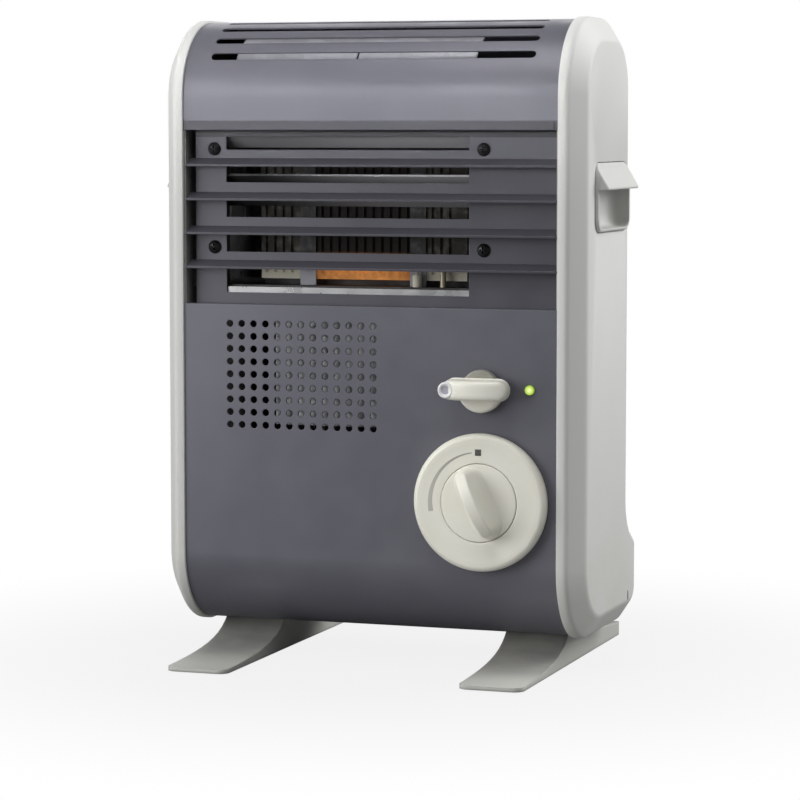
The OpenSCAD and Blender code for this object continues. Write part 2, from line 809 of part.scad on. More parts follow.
module fan_housing() {
    lo = [fan_x - fan_box[0] / 2, fan_front, fan_z - fan_box[1] / 2];
    hi = [fan_x + fan_box[0] / 2, fan_back, fan_top];
    wall = [1.5, 1.5, 1.5];
    color(zinc) difference() {
        union() {
            block(lo, hi);
            block([duct_x[0], duct_y[0], hi[2] - 1], [duct_x[1], duct_y[1], tray_z]);
        }
        block(lo + wall, hi - wall);
        block([duct_x[0] + 1, duct_y[0] + 1, hi[2] - 3], [duct_x[1] - 1, duct_y[1] - 1, tray_z + 1]);
        block([lo[0] - 1, fan_front + 10, lo[2] + 10], [lo[0] + 3, fan_front + 46, hi[2] - 10]);
        rod_y(fan_x, fan_back - 3, fan_back + 1, fan_z, 3);
    }
}

module fan_bracket() {
    top = fan_z - fan_box[1] / 2;
    y0 = wall_y - 8.5;
    color(zinc) {
        block([fan_x - 31.5, y0, top - sheet_t], [fan_x + 31.5, fan_back, top]);
        for (x = [fan_x - 31.5, fan_x + 31.5 - sheet_t])
            block([x, y0, shelf_top], [x + sheet_t, fan_back, top - sheet_t]);
    }
}

module fan_motor() {
    color(steel) difference() {
        rod_y(fan_x, fan_back, fan_back + 24, fan_z, motor_r);
        rod_y(fan_x, fan_back - 1, fan_back + 21, fan_z, 1.5 + run_gap);
    }
}

module canister_cradle() {
    color(zinc) difference() {
        for (x = [neck_x - 145, neck_x - 35])
            block([x, can_y - 22, floor_top], [x + 12, can_y + 8, can_z - 26]);
        rod_x(neck_x - 170, neck_x, can_y, can_z, can_r + touch);
        block([neck_x - 170, can_y - strip_half - 0.6, strip_z - 0.6],
            [neck_x, can_y + strip_half + 0.6, can_z]);
    }
}

// Strip that brings a little of the burner's warmth to the canister
module heat_plate() {
    color(steel) difference() {
        union() {
            block([strip_x[0], strip_y[0], can_z + can_r - 5], [strip_x[1], strip_y[1], tray_z]);
            block([strip_x[0], strip_y[1] - 0.1, can_z + can_r - 5], [strip_x[1], can_y + 12,
                can_z + can_r + 3.5]);
        }
        rod_x(strip_x[0] - 1, strip_x[1] + 1, can_y, can_z, can_r + 0.4);
    }
}

dial_front = face_y - 8;
dial_floor = face_y - 2.5;

// Fixed dial plate: a rolled rim, a flat scale and a recess for the knob, turned about its axis
module dial_plate() {
    roll = 4;
    color(cream) translate([control_x, 0, dial_z]) rotate([90, 0, 0]) rotate_extrude()
        polygon(concat([[3.6, -face_y], [dial_r - 2, -face_y]],
            arc([dial_r - roll, -dial_front - roll], roll, 0, 90, 6),
            [[knob_r + 0.8, -dial_front], [knob_r + 0.8, -dial_floor], [3.6, -dial_floor]]));
}

module led_lens() {
    color([0.8, 0.95, 0.4]) {
        rod_y(control_x + lamp_step, face_y - 1.5, panel_back, lever_z, 3);
        rod_y(control_x + lamp_step, panel_back, panel_back + 1.3, lever_z, 4.2);
    }
}

module led_holder() {
    color(dark) rod_y(control_x + lamp_step, panel_back + 1.3, panel_back + 12, lever_z, 5);
    color(dark) block([control_x + lamp_step - 9, panel_back, lever_z - 8],
        [control_x + lamp_step - 5.5, panel_back + 12, lever_z + 8]);
    color(dark) block([control_x + lamp_step - 5.5, panel_back + 4, lever_z - 2],
        [control_x + lamp_step - 4, panel_back + 12, lever_z + 2]);
}

shaft_r = 4;

module lever_bush() {
    color(dark) difference() {
        union() {
            rod_y(control_x, panel_back, panel_back + 2, lever_z, 13);
            rod_y(control_x, panel_back, panel_back + 12, lever_z, 8);
        }
        rod_y(control_x, panel_back - 1, panel_back + 13, lever_z, shaft_r + run_gap);
    }
}

bracket_y = crank_back - 4.3;

module lever_bracket() {
    color(zinc) difference() {
        union() {
            block([control_x - 17, bracket_y, shelf_top], [control_x + 17, bracket_y + 1.5, lever_z + 12]);
            block([control_x - 17, bracket_y - 1.6, shelf_top],
                [control_x + 17, bracket_y, shelf_top + sheet_t]);
        }
        rod_y(control_x, bracket_y - 1, bracket_y + 3, lever_z, shaft_r + run_gap);
    }
}

tip_y = 30;
tip_z = 182;
tip_pin_r = 1.5;

module tip_switch_bracket() {
    color(dark) {
        block([inner_half - 1.2, tip_y - 28, tip_z - 34], [inner_half, tip_y + 12, tip_z + 6]);
        rod_x(inner_half - 16, inner_half - 1.2, tip_y, tip_z, tip_pin_r);
        rod_x(inner_half - 17.5, inner_half - 16, tip_y, tip_z, tip_pin_r + 1.2);
    }
}

module tip_weight() {
    x0 = inner_half - 13;
    color(steel) difference() {
        union() {
            rod_x(x0, x0 + 4, tip_y, tip_z, 4.5);
            block([x0 + 0.5, tip_y - 2, tip_z - 26], [x0 + 3.5, tip_y + 2, tip_z]);
            rod_x(x0 - 2, x0 + 9, tip_y, tip_z - 27, 8);
        }
        rod_x(x0 - 1, x0 + 5, tip_y, tip_z, tip_pin_r + run_gap);
    }
}

pin_x = side_in - 10;

module door_hinge_pins() {
    color(steel) for (side = [0, 1]) mirror([side, 0, 0]) rod_x(pin_x, side_in, hinge[0], hinge[1], pin_r);
}

knob_floor = dial_floor - 0.5;
knob_front = dial_front - 3;
grip_front = face_y - 25;
grip_w = 15;
grip_tilt = 26;

module dial_knob() {
    color(cream) difference() {
        translate([control_x, 0, dial_z]) union() {
            rod_y(0, knob_front, knob_floor, 0, knob_r);
            rotate([0, -grip_tilt, 0]) intersection() {
                rod_y(0, grip_front, knob_front + 0.5, 0, knob_r - 0.8);
                block([-grip_w / 2, grip_front, -knob_r], [grip_w / 2, knob_front + 0.5, knob_r]);
                rod_x(-grip_w, grip_w, grip_front + 40, 0, 40);
            }
        }
        rod_y(control_x, knob_front, knob_floor + 1, dial_z, 3.03);
    }
}

module valve_spindle() {
    color(steel) rod_y(control_x, knob_front + 0.1, valve_y[1] - 6, dial_z, 3);
}

hub_r = 15.3;
hub_front = face_y - 7;
grip_reach = face_y - 20;

module set_lever() {
    bow = 29;
    color(cream) difference() {
        union() {
            rod_y(control_x, hub_front, face_y - 0.8, lever_z, hub_r);
            intersection() {
                translate([control_x - 1, 0, lever_z]) along_y(grip_reach, hub_front)
                    stadium(lever_len, 13);
                rod_z(control_x - 1, grip_reach + bow, lever_z - 10, lever_z + 10, bow);
            }
        }
        rod_y(control_x, hub_front + 1, face_y, lever_z, shaft_r + 0.03);
    }
}

// The lever's shaft ends in a crank whose pin drives the carriage
module lever_shaft() {
    color(steel) {
        rod_y(control_x, hub_front + 1.1, crank_back - 1, lever_z, shaft_r);
        rod_y(control_x, crank_back - 2.5, crank_back, lever_z, 8.5);
        translate([control_x + crank_r * sqrt(0.5), 0, lever_z - crank_r * sqrt(0.5)])
            rod_y(0, crank_back, arm_y + arm_t + 1.5, 0, 1.8);
    }
}

// Half outline of the canister, from its base to its nozzle, turned about its axis
shoulder_r = 22;
can_outline = concat([[0, 5], [24, 3], [can_r - 2, 0], [can_r, 1.5], [can_r, can_len]],
    [for (i = [1:5]) [shoulder_r + (can_r - shoulder_r) * cos(i * 18), can_len + 9 * sin(i * 18)]],
    [[shoulder_r - 1.5, can_len + 9], [shoulder_r - 1.5, can_len + 12],
        [17, can_len + 12], [15, can_len + 10], [7, can_len + 10], [7, can_len + 16],
        [2, can_len + 16], [2, can_len + 20], [0, can_len + 20]]);

// The wall is as heavy as the tin and its gas together
can_wall = 1;

module gas_canister() {
    color([0.75, 0.76, 0.78]) translate([base_x, can_y, can_z]) rotate([0, 90, 0])
        rotate_extrude() difference() {
            polygon(can_outline);
            polygon([[0, 5 + can_wall], [24, 3 + can_wall], [can_r - can_wall, 3 + can_wall],
                [can_r - can_wall, can_len - 1], [shoulder_r - 2, can_len + 6],
                [0, can_len + 6]]);
        }
}

yoke_z = lever_z - crank_r * 0.85;

// Carriage that shifts the canister, with an arm up to the lever's crank
module canister_carriage() {
    pin_x0 = control_x + crank_r * sqrt(0.5);
    color(zinc) difference() {
        union() {
            block([base_x - 2, can_y - strip_half, strip_z],
                [arm_x[1], can_y + strip_half, strip_z + arm_t]);
            block([base_x - 2, can_y - 10, strip_z], [base_x, can_y + 10, can_z + 4]);
            block([arm_x[0], arm_y, strip_z], [arm_x[1], can_y, strip_z + arm_t]);
            block([arm_x[0], arm_y, strip_z], [arm_x[1], arm_y + arm_t, lever_z - 14]);
            block([arm_x[0], arm_y, lever_z - 16], [pin_x0 + 8, arm_y + arm_t, lever_z + 6]);
        }
        block([pin_x0 - 2.1, arm_y - 1, yoke_z - 4], [pin_x0 + 2.1, arm_y + arm_t + 1, yoke_z + 4]);
    }
}

door_t = 2;
door_low = 6.5;      // from the hinge back to the door's lower edge, which clears the canister

// Cover of the canister bay, which swings back and down on its lower edge
module canister_door() {
    arm = [door_half - 8.5, door_half - 3];
    color(slate) difference() {
        bent_sheet(skin, door_t, door_half)
            translate([hinge[0], floor_top + 0.1]) intersection() {
                translate([-10, 0]) square([60, door_top - floor_top - 0.1]);
                union() {
                    translate([door_low, 0]) square([50, 60]);
                    translate([-10, 20]) square([60, 120]);
                }
            }
        along_y(rear_face - 5, rear_face + 5) translate([0, door_top]) stadium(44, 12);
    }
    color(slate) for (side = [0, 1]) mirror([side, 0, 0]) along_x(arm[0], arm[1]) difference() {
        union() {
            translate(hinge) circle(5.5);
            intersection() {
                translate([hinge[0], hinge[1] - 5.5]) square([25, 28]);
                polygon(outline(skin + 1));
            }
        }
        translate(hinge) circle(pin_r + run_gap);
    }
}

module fan_rotor() {
    blades = 24;
    back = fan_back - 20;
    color(dark) difference() {
        union() {
            rod_y(fan_x, back - 1.5, back, fan_z, fan_r);
            rod_y(fan_x, back - 14, back, fan_z, 6);
            translate([fan_x, back, fan_z]) rotate([90, 0, 0]) linear_extrude(24)
                for (i = [0:blades - 1]) rotate(i * 360 / blades) translate([fan_r - 9, -0.6])
                    square([8.5, 1.2]);
            translate([fan_x, back - 22, fan_z]) rotate([90, 0, 0]) linear_extrude(2) difference() {
                circle(fan_r);
                circle(fan_r - 4);
            }
        }
        rod_y(fan_x, back - 15, back + 1, fan_z, 1.4);
    }
    color(steel) rod_y(fan_x, back - 12, fan_back + 20, fan_z, 1.5);
}

base_plate();
left_foot();
right_foot();
foot_pads();
left_side_cover();
right_side_cover();
left_handle();
right_handle();
left_side_plate();
right_side_plate();
top_hood();
top_baffle();
front_panel();
louvre_plate();
louvre_blades();
guide_fins();
louvre_rails();
louvre_screws();
rear_cover();
rear_screws();
gas_divider();
burner_tray();
burner_lip();
burner_box();
burner_plate();
burner_end_tiles();
burner_brackets();
mixing_tube();
injector();
feed_pipe();
burner_pipe();
governor();
valve_body();
igniter();
spark_electrode();
thermocouple();
thermoelectric_module();
heat_sink();
module_wires();
fan_housing();
fan_bracket();
fan_motor();
canister_cradle();
heat_plate();
dial_plate();
led_lens();
led_holder();
lever_bush();
lever_bracket();
tip_switch_bracket();
door_hinge_pins();
dial_knob();
valve_spindle();
set_lever();
lever_shaft();
gas_canister();
canister_carriage();
canister_door();
fan_rotor();
tip_weight();
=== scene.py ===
"""A portable gas heater: the looks of its pieces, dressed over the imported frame, in metres."""
import json
import math

import bmesh
import bpy
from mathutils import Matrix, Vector


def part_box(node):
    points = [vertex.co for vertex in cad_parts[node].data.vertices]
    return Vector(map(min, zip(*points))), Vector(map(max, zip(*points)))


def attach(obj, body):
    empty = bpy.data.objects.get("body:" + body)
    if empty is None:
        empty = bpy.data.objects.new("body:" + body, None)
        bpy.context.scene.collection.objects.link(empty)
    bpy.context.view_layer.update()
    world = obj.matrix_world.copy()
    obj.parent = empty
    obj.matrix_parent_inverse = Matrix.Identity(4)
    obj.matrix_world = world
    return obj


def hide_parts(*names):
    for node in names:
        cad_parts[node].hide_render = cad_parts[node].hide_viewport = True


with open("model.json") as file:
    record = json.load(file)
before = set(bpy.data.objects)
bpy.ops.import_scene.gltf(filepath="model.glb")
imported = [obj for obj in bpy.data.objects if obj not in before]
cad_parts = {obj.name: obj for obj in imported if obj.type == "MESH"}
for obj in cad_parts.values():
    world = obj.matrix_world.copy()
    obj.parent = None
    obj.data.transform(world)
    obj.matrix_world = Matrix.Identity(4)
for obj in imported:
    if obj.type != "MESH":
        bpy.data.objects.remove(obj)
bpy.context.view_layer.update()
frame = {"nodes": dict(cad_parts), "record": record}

SCENE = bpy.context.scene
MM = 0.001

# The side cover's outline, as the frame has it
cover_lo, cover_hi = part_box("right_side_cover")
COVER_IN = cover_lo.x
COVER_FACE = cover_hi.x
FRONT_Y = cover_lo.y
BULGE_Y = cover_hi.y
BOTTOM_Z = cover_lo.z
TOP_Z = cover_hi.z
REAR_Y = 57.5 * MM
FRONT_R = 52.5 * MM
REAR_R = 46.5 * MM
CHIN_R = 52 * MM
HEEL_R = 24 * MM
SWELL_TOP = 107 * MM
SWELL_BOTTOM = 72 * MM
BEVEL_W = 10 * MM
BEVEL_INSET = 15 * MM
COVER_WALL = 2.5 * MM
COVER_RIM = COVER_FACE - BEVEL_W

# Planes of the sheet metal
FACE_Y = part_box("front_panel")[0].y
LOUVRE_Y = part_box("louvre_plate")[0].y
REAR_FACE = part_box("rear_cover")[1].y

# The controls
dial_lo, dial_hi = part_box("dial_plate")
DIAL = Vector(((dial_lo.x + dial_hi.x) / 2, FACE_Y, (dial_lo.z + dial_hi.z) / 2))
DIAL_R = (dial_hi.x - dial_lo.x) / 2
DIAL_DEPTH = FACE_Y - dial_lo.y
SCALE_DISH = 0.25 * MM
KNOB_R = 26 * MM
GRIP_TILT = math.radians(26)
lever_lo, lever_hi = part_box("set_lever")
LEVER = Vector((DIAL.x, FACE_Y, (lever_lo.z + lever_hi.z) / 2))

RANGE_SOCKETS = ("From Min", "From Max", "To Min", "To Max")


def tone(red, green, blue):
    """A screen colour, 0 to 255, as a linear one."""
    parts = []
    for value in (red, green, blue):
        share = value / 255
        parts.append(share / 12.92 if share <= 0.04045 else ((share + 0.055) / 1.055) ** 2.4)
    return (*parts, 1.0)


def bare_tree(owner):
    """The emptied node tree of a material or a world."""
    owner.use_nodes = True
    owner.node_tree.nodes.clear()
    return owner.node_tree


class Finish:
    """Builds one procedural material from noise, ramps and bumps in the object's own space."""

    def __init__(self, name, roughness=0.5, metallic=0.0, **sockets):
        self.material = bpy.data.materials.new(name)
        self.tree = bare_tree(self.material)
        output = self.add("ShaderNodeOutputMaterial")
        self.shader = self.add("ShaderNodeBsdfPrincipled")
        self.join(self.shader.outputs[0], output.inputs[0])
        self.shader.inputs["Metallic"].default_value = metallic
        self.shader.inputs["Roughness"].default_value = roughness
        for socket, value in sockets.items():
            self.shader.inputs[socket.replace("_", " ")].default_value = value
        self.place = self.add("ShaderNodeTexCoord").outputs["Object"]
        self.normal = None

    def add(self, kind):
        return self.tree.nodes.new(kind)

    def join(self, start, end):
        self.tree.links.new(start, end)

    def stretched(self, scale):
        mapping = self.add("ShaderNodeMapping")
        mapping.inputs["Scale"].default_value = scale
        self.join(self.place, mapping.inputs["Vector"])
        return mapping.outputs[0]

    def noise(self, scale, detail=2.0, stretch=None, roughness=0.5):
        node = self.add("ShaderNodeTexNoise")
        node.inputs["Scale"].default_value = scale
        node.inputs["Detail"].default_value = detail
        node.inputs["Roughness"].default_value = roughness
        self.join(self.stretched(stretch) if stretch else self.place, node.inputs["Vector"])
        return node.outputs["Fac"]

    def cells(self, scale):
        """A random grey for each cell of a crystal pattern."""
        node = self.add("ShaderNodeTexVoronoi")
        node.inputs["Scale"].default_value = scale
        self.join(self.place, node.inputs["Vector"])
        return self.part(node.outputs["Color"], 0)

    def part(self, vector, axis):
        node = self.add("ShaderNodeSeparateXYZ")
        self.join(vector, node.inputs[0])
        return node.outputs[axis]

    def along(self, axis):
        return self.part(self.place, axis)

    def ramp(self, value, lo, hi, start=0.0, end=1.0, smooth=True):
        node = self.add("ShaderNodeMapRange")
        node.interpolation_type = "SMOOTHSTEP" if smooth else "LINEAR"
        self.join(value, node.inputs["Value"])
        for socket, number in zip(RANGE_SOCKETS, (lo, hi, start, end)):
            node.inputs[socket].default_value = number
        return node.outputs[0]

    def cloud(self, scale, detail, start=0.0, end=1.0):
        """Noise that is spread between two values."""
        return self.ramp(self.noise(scale, detail), 0.3, 0.7, start, end)

    def calc(self, operation, first, second=None):
        node = self.add("ShaderNodeMath")
        node.operation = operation
        for socket, value in zip(node.inputs, (first, second)):
            if isinstance(value, (int, float)):
                socket.default_value = value
            elif value is not None:
                self.join(value, socket)
        return node.outputs[0]

    def times(self, first, second):
        return self.calc("MULTIPLY", first, second)

    def vector(self, operation, first, second=None, output="Vector"):
        node = self.add("ShaderNodeVectorMath")
        node.operation = operation
        self.join(first, node.inputs[0])
        if second is not None:
            self.join(second, node.inputs[1])
        return node.outputs[output]

    def blend(self, share, first, second):
        """Mixes two colours, each from the tree or a screen colour, 0 to 255."""
        node = self.add("ShaderNodeMix")
        node.data_type = "RGBA"
        for index, value in ((0, share), (6, first), (7, second)):
            if isinstance(value, tuple):
                node.inputs[index].default_value = tone(*value)
            elif isinstance(value, float):
                node.inputs[index].default_value = value
            else:
                self.join(value, node.inputs[index])
        return node.outputs[2]

    def paint(self, colour, socket="Base Color"):
        self.join(colour, self.shader.inputs[socket])

    def rough(self, value):
        self.join(value, self.shader.inputs["Roughness"])

    def bump(self, height, depth, strength=1.0):
        """Adds a relief, depth mm high, to what the surface has already."""
        node = self.add("ShaderNodeBump")
        node.inputs["Strength"].default_value = strength
        node.inputs["Distance"].default_value = depth * MM
        self.join(height, node.inputs["Height"])
        if self.normal:
            self.join(self.normal, node.inputs["Normal"])
        self.normal = node.outputs[0]
        self.join(self.normal, self.shader.inputs["Normal"])

    def edges(self, radius, lo=0.03, hi=0.25, soften=False):
        """How near a surface is to an edge, from 0 to 1, within a radius in mm.

        With soften, the edge's shading is rounded too.
        """
        bevel = self.add("ShaderNodeBevel")
        bevel.samples = 4
        bevel.inputs["Radius"].default_value = radius * MM
        if soften:
            self.normal = bevel.outputs[0]
        true = self.add("ShaderNodeNewGeometry").outputs["Normal"]
        dot = self.vector("DOT_PRODUCT", bevel.outputs[0], true, "Value")
        return self.ramp(self.calc("SUBTRACT", 1.0, dot), lo, hi)


NOT_ZERO = 0.001 * MM
MIDDLE_Y = 0.0
MIDDLE_Z = 0.2
ALIGNED = (0.985, 0.99)


def bent(f):
    """Shades the bends of the sheet as true arcs about the outline's centres, not as facets.

    Only where the arc and the sheet are aligned, so that its cut edges stay as they are.
    """
    y, z = f.along(1), f.along(2)

    def centre(axis, middle, first, second):
        """An arc's centre, which changes in the middle of the other axis."""
        return f.ramp(axis, middle - MM, middle + MM, first, second, smooth=False)

    def beyond(first, limit, second, other):
        """How far a point is outside of the centres at either end of an axis."""
        return f.calc("ADD", f.calc(limit, first, 0.0), f.calc(other, second, 0.0))

    front = f.calc("SUBTRACT", y, centre(z, MIDDLE_Z, FRONT_Y + CHIN_R, FRONT_Y + FRONT_R))
    back = f.calc("SUBTRACT", y, centre(z, MIDDLE_Z, BULGE_Y - HEEL_R, REAR_Y - REAR_R))
    top = f.calc("SUBTRACT", z, centre(y, MIDDLE_Y, TOP_Z - FRONT_R, TOP_Z - REAR_R))
    low = f.calc("SUBTRACT", z, centre(y, MIDDLE_Y, BOTTOM_Z + CHIN_R, BOTTOM_Z + HEEL_R))
    radial = f.add("ShaderNodeCombineXYZ")
    radial.inputs[0].default_value = NOT_ZERO
    f.join(beyond(front, "MINIMUM", back, "MAXIMUM"), radial.inputs[1])
    f.join(beyond(top, "MAXIMUM", low, "MINIMUM"), radial.inputs[2])
    turn = f.add("ShaderNodeVectorTransform")
    turn.vector_type = "NORMAL"
    turn.convert_from = "OBJECT"
    turn.convert_to = "WORLD"
    f.join(f.vector("NORMALIZE", radial.outputs[0]), turn.inputs[0])
    flat = f.add("ShaderNodeNewGeometry").outputs["Normal"]
    near = f.vector("DOT_PRODUCT", turn.outputs[0], flat, "Value")
    change = f.vector("SUBTRACT", turn.outputs[0], flat)
    scaled = f.add("ShaderNodeVectorMath")
    scaled.operation = "SCALE"
    f.join(change, scaled.inputs[0])
    f.join(f.ramp(near, *ALIGNED), scaled.inputs["Scale"])
    f.normal = f.vector("NORMALIZE", f.vector("ADD", f.normal, scaled.outputs[0]))


def panel_paint(name, low=(104, 104, 114), high=(113, 113, 122), shade_band=None):
    """Satin dark grey paint on sheet metal: a fine orange peel, metal flakes and rubbed edges.

    The shade_band (start, end, shade) paints shade in front, between two heights in mm, in its own
    darker tone.
    """
    f = Finish(name, 0.38, 0.2, Specular_IOR_Level=0.45)
    base = f.blend(f.cloud(7, 3), low, high)
    flakes = f.ramp(f.noise(5200, 1), 0.62, 0.72)
    base = f.blend(f.times(flakes, 0.22), base, (146, 146, 158))
    # Painted shade: a darker strip across the front, where the sheet lies in shade
    if shade_band:
        start, end, shade = shade_band
        soft = 0.3
        z = f.along(2)
        inside = f.times(f.ramp(z, (start - soft) * MM, (start + soft) * MM),
                         f.ramp(z, (end - soft) * MM, (end + soft) * MM, 1.0, 0.0))
        inside = f.times(inside, f.ramp(f.along(1), -60 * MM, -50 * MM, 1.0, 0.0))
        base = f.blend(inside, base, shade)
    patchy = f.ramp(f.noise(160, 4), 0.35, 0.6, 0.2, 0.6)
    rubbed = f.times(f.edges(0.6, soften=True), patchy)
    bent(f)
    f.paint(f.blend(rubbed, base, (132, 132, 142)))
    f.rough(f.cloud(45, 3, 0.33, 0.43))
    f.bump(f.noise(1300, 2), 0.02, 0.6)
    return f.material


def cover_plastic(name, dull=0.0, round_mm=0.0):
    """Light grey moulded plastic with a fine matt grain, faint flow marks and paler worn edges.

    dull is a share of a greyer tone, painted in as shade. round_mm softens the edges, and
    paints the heater's shadow on the top of a foot towards the back, where it runs in under the
    heater.
    """
    f = Finish(name, 0.52, Specular_IOR_Level=0.42)
    flow = f.ramp(f.noise(5, 3, (1, 1, 0.4)), 0.3, 0.7)
    base = f.blend(flow, (215, 216, 213), (223, 224, 221))
    if dull:
        base = f.blend(dull, base, (178, 178, 172))
    if round_mm:
        f.edges(round_mm, soften=True)
        # Painted shadow: the top of a foot darkens towards the back, where the heater shades it
        up = f.ramp(f.part(f.add("ShaderNodeNewGeometry").outputs["Normal"], 2), 0.2, 0.5)
        darkening = f.times(up, f.ramp(f.along(1), -106 * MM, -58 * MM, 0.0, 0.62))
        base = f.blend(darkening, base, (92, 92, 92))
    speck = f.ramp(f.noise(2600, 2), 0.66, 0.74)
    base = f.blend(f.times(speck, 0.2), base, (190, 191, 186))
    # A warmer, darker tone towards the bottom
    low = f.ramp(f.along(2), 20 * MM, 160 * MM, 0.35, 0.0)
    base = f.blend(f.times(low, f.cloud(30, 4)), base, (203, 201, 190))
    worn = f.times(f.edges(0.8), f.ramp(f.noise(120, 4), 0.4, 0.65, 0.1, 0.5))
    f.paint(f.blend(worn, base, (236, 236, 232)))
    f.rough(f.cloud(900, 3, 0.46, 0.6))
    f.bump(f.noise(2400, 3), 0.04, 0.5)
    return f.material


def cream_plastic(name):
    """Cream moulded plastic of the dial and lever, smoother than the covers."""
    f = Finish(name, 0.34, Coat_Weight=0.08, Coat_Roughness=0.25)
    base = f.blend(f.cloud(24, 3), (246, 244, 230), (250, 249, 238))
    patchy = f.ramp(f.noise(220, 3), 0.35, 0.65, 0.0, 0.25)
    darkening = f.times(f.edges(1.1, 0.08, 0.45), patchy)
    f.paint(f.blend(darkening, base, (204, 200, 180)))
    f.rough(f.cloud(160, 3, 0.3, 0.4))
    f.bump(f.noise(1500, 2), 0.012, 0.5)
    return f.material


def zinc_steel(name, low=(150, 152, 154), high=(196, 198, 200), metal=0.75):
    """Galvanised sheet: pale spangles that differ in tone and gloss."""
    f = Finish(name, 0.42, metal)
    spangle = f.cells(130)
    base = f.blend(f.ramp(spangle, 0.0, 1.0, smooth=False), low, high)
    stain = f.ramp(f.noise(18, 4), 0.52, 0.72, 0.0, 0.4)
    f.paint(f.blend(stain, base, (132, 130, 124)))
    f.rough(f.ramp(spangle, 0.0, 1.0, 0.34, 0.52, smooth=False))
    f.bump(f.noise(700, 3, (1, 6, 1)), 0.02, 0.4)
    return f.material


def inner_steel_soot_and_shade(name):
    """Galvanised sheet inside the heater, browned and dulled by heat and soot, and painted darker
    as the shade inside the heater; paler towards the front.
    """
    f = Finish(name, 0.6, 0.5)
    spangle = f.cells(130)
    # Painted shade: dark tones for the shade inside the heater, besides the soot
    base = f.blend(f.ramp(spangle, 0.0, 1.0, smooth=False), (70, 70, 72), (92, 92, 94))
    soot = f.ramp(f.noise(22, 4), 0.4, 0.7, 0.0, 0.8)
    base = f.blend(soot, base, (44, 41, 38))
    f.paint(f.blend(f.ramp(f.along(1), -69 * MM, -54 * MM, 0.85, 0.0), base, (176, 176, 172)))
    f.rough(f.cloud(60, 3, 0.5, 0.7))
    f.bump(f.noise(700, 3), 0.02, 0.4)
    return f.material


def sooted(f, base):
    """Blackens what lies above the burner's hot edge."""
    high = f.ramp(f.along(2), 265.5 * MM, 270.5 * MM)
    patchy = f.ramp(f.noise(140, 3), 0.2, 0.6, 0.82, 0.97)
    return f.blend(f.times(high, patchy), base, (34, 32, 31))


def vane_steel(name):
    """The guide vanes: dull painted sheet, sooted towards the left, where the flame is lit."""
    f = Finish(name, 0.5, 0.3)
    streaks = f.noise(220, 4, (0.05, 1, 1))
    base = f.blend(streaks, (206, 206, 212), (226, 226, 231))
    across = f.calc("ADD", f.along(0), f.times(f.noise(30, 3), 20 * MM))
    soot = f.ramp(across, -80 * MM, 40 * MM, 0.97, 0.3)
    soot = f.times(soot, f.ramp(f.along(2), 330 * MM, 338 * MM, 1.0, 0.48))
    f.paint(f.blend(soot, base, (38, 38, 40)))
    f.rough(f.cloud(90, 3, 0.42, 0.6))
    f.bump(streaks, 0.02, 0.4)
    return f.material


def post_steel(name):
    """The burner's posts: heat-greyed steel, black with soot above the flame."""
    f = Finish(name, 0.5, 0.35)
    brushed = f.noise(500, 3, (1, 1, 0.05))
    base = f.blend(brushed, (158, 158, 168), (182, 182, 190))
    f.paint(sooted(f, base))
    f.rough(f.ramp(brushed, 0.3, 0.7, 0.42, 0.58))
    f.bump(brushed, 0.02, 0.5)
    return f.material


def tube_brass(name):
    """Brass greyed by heat, as on the flame sensor."""
    f = Finish(name, 0.5, 0.5)
    marks = f.noise(600, 3, (1, 0.1, 1))
    f.paint(sooted(f, f.blend(marks, (176, 168, 146), (202, 194, 170))))
    f.rough(f.ramp(marks, 0.3, 0.7, 0.42, 0.6))
    f.bump(marks, 0.01, 0.5)
    return f.material


def burner_steel(name):
    """Stainless steel, brushed along X, with straw and blue heat tints."""
    f = Finish(name, 0.36, 0.95)
    brushed = f.noise(500, 3, (0.04, 1, 1))
    base = f.blend(brushed, (150, 149, 147), (192, 190, 187))
    warm = f.ramp(f.noise(16, 3), 0.45, 0.7, 0.0, 0.5)
    base = f.blend(warm, base, (168, 140, 104))
    blue = f.ramp(f.noise(11, 2, (1, 1, 2)), 0.6, 0.75, 0.0, 0.35)
    f.paint(f.blend(blue, base, (104, 112, 140)))
    f.rough(f.ramp(brushed, 0.3, 0.7, 0.28, 0.46))
    f.bump(brushed, 0.015, 0.5)
    return f.material


def ceramic(name, glow=0.0):
    """Porous fired ceramic; where glow is set, the burner's hot face, brightest in its middle."""
    f = Finish(name, 0.85)
    grains = f.noise(1400, 4, roughness=0.7)
    f.bump(grains, 0.2, 0.5)
    if glow:
        lo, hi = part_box("burner_plate")
        middle = (lo.x + hi.x) / 2
        half = (hi.x - lo.x) / 2
        across = f.calc("DIVIDE", f.calc("SUBTRACT", f.along(0), middle), half)
        fall = f.ramp(f.calc("POWER", f.calc("ABSOLUTE", across), 2.0), 0.0, 1.0, 1.0, 0.3)
        low = f.ramp(f.along(2), lo.z + 12 * MM, lo.z + 19 * MM, 1.0, 0.0)
        fall = f.times(fall, low)
        mottle = f.ramp(f.noise(260, 3), 0.3, 0.75, 0.55, 1.0)
        heat = f.times(fall, mottle)
        cool = f.blend(low, (30, 27, 25), (150, 98, 62))
        base = f.blend(f.times(heat, 0.9), cool, (214, 146, 88))
        f.paint(f.blend(heat, (4, 2, 1), (238, 156, 80)), "Emission Color")
        f.shader.inputs["Emission Strength"].default_value = glow
    else:
        base = f.blend(f.ramp(grains, 0.35, 0.65), (230, 224, 204), (244, 240, 224))
        base = sooted(f, base)
    f.paint(base)
    return f.material


def brass(name):
    """Turned brass with fine tool marks and dull patches."""
    f = Finish(name, 0.3, 1.0)
    marks = f.noise(900, 3, (1, 0.1, 1))
    base = f.blend(marks, (184, 146, 80), (214, 178, 108))
    dull = f.ramp(f.noise(60, 4), 0.5, 0.7, 0.0, 0.55)
    f.paint(f.blend(dull, base, (128, 98, 58)))
    f.rough(f.cloud(90, 3, 0.24, 0.48))
    f.bump(marks, 0.01, 0.5)
    return f.material


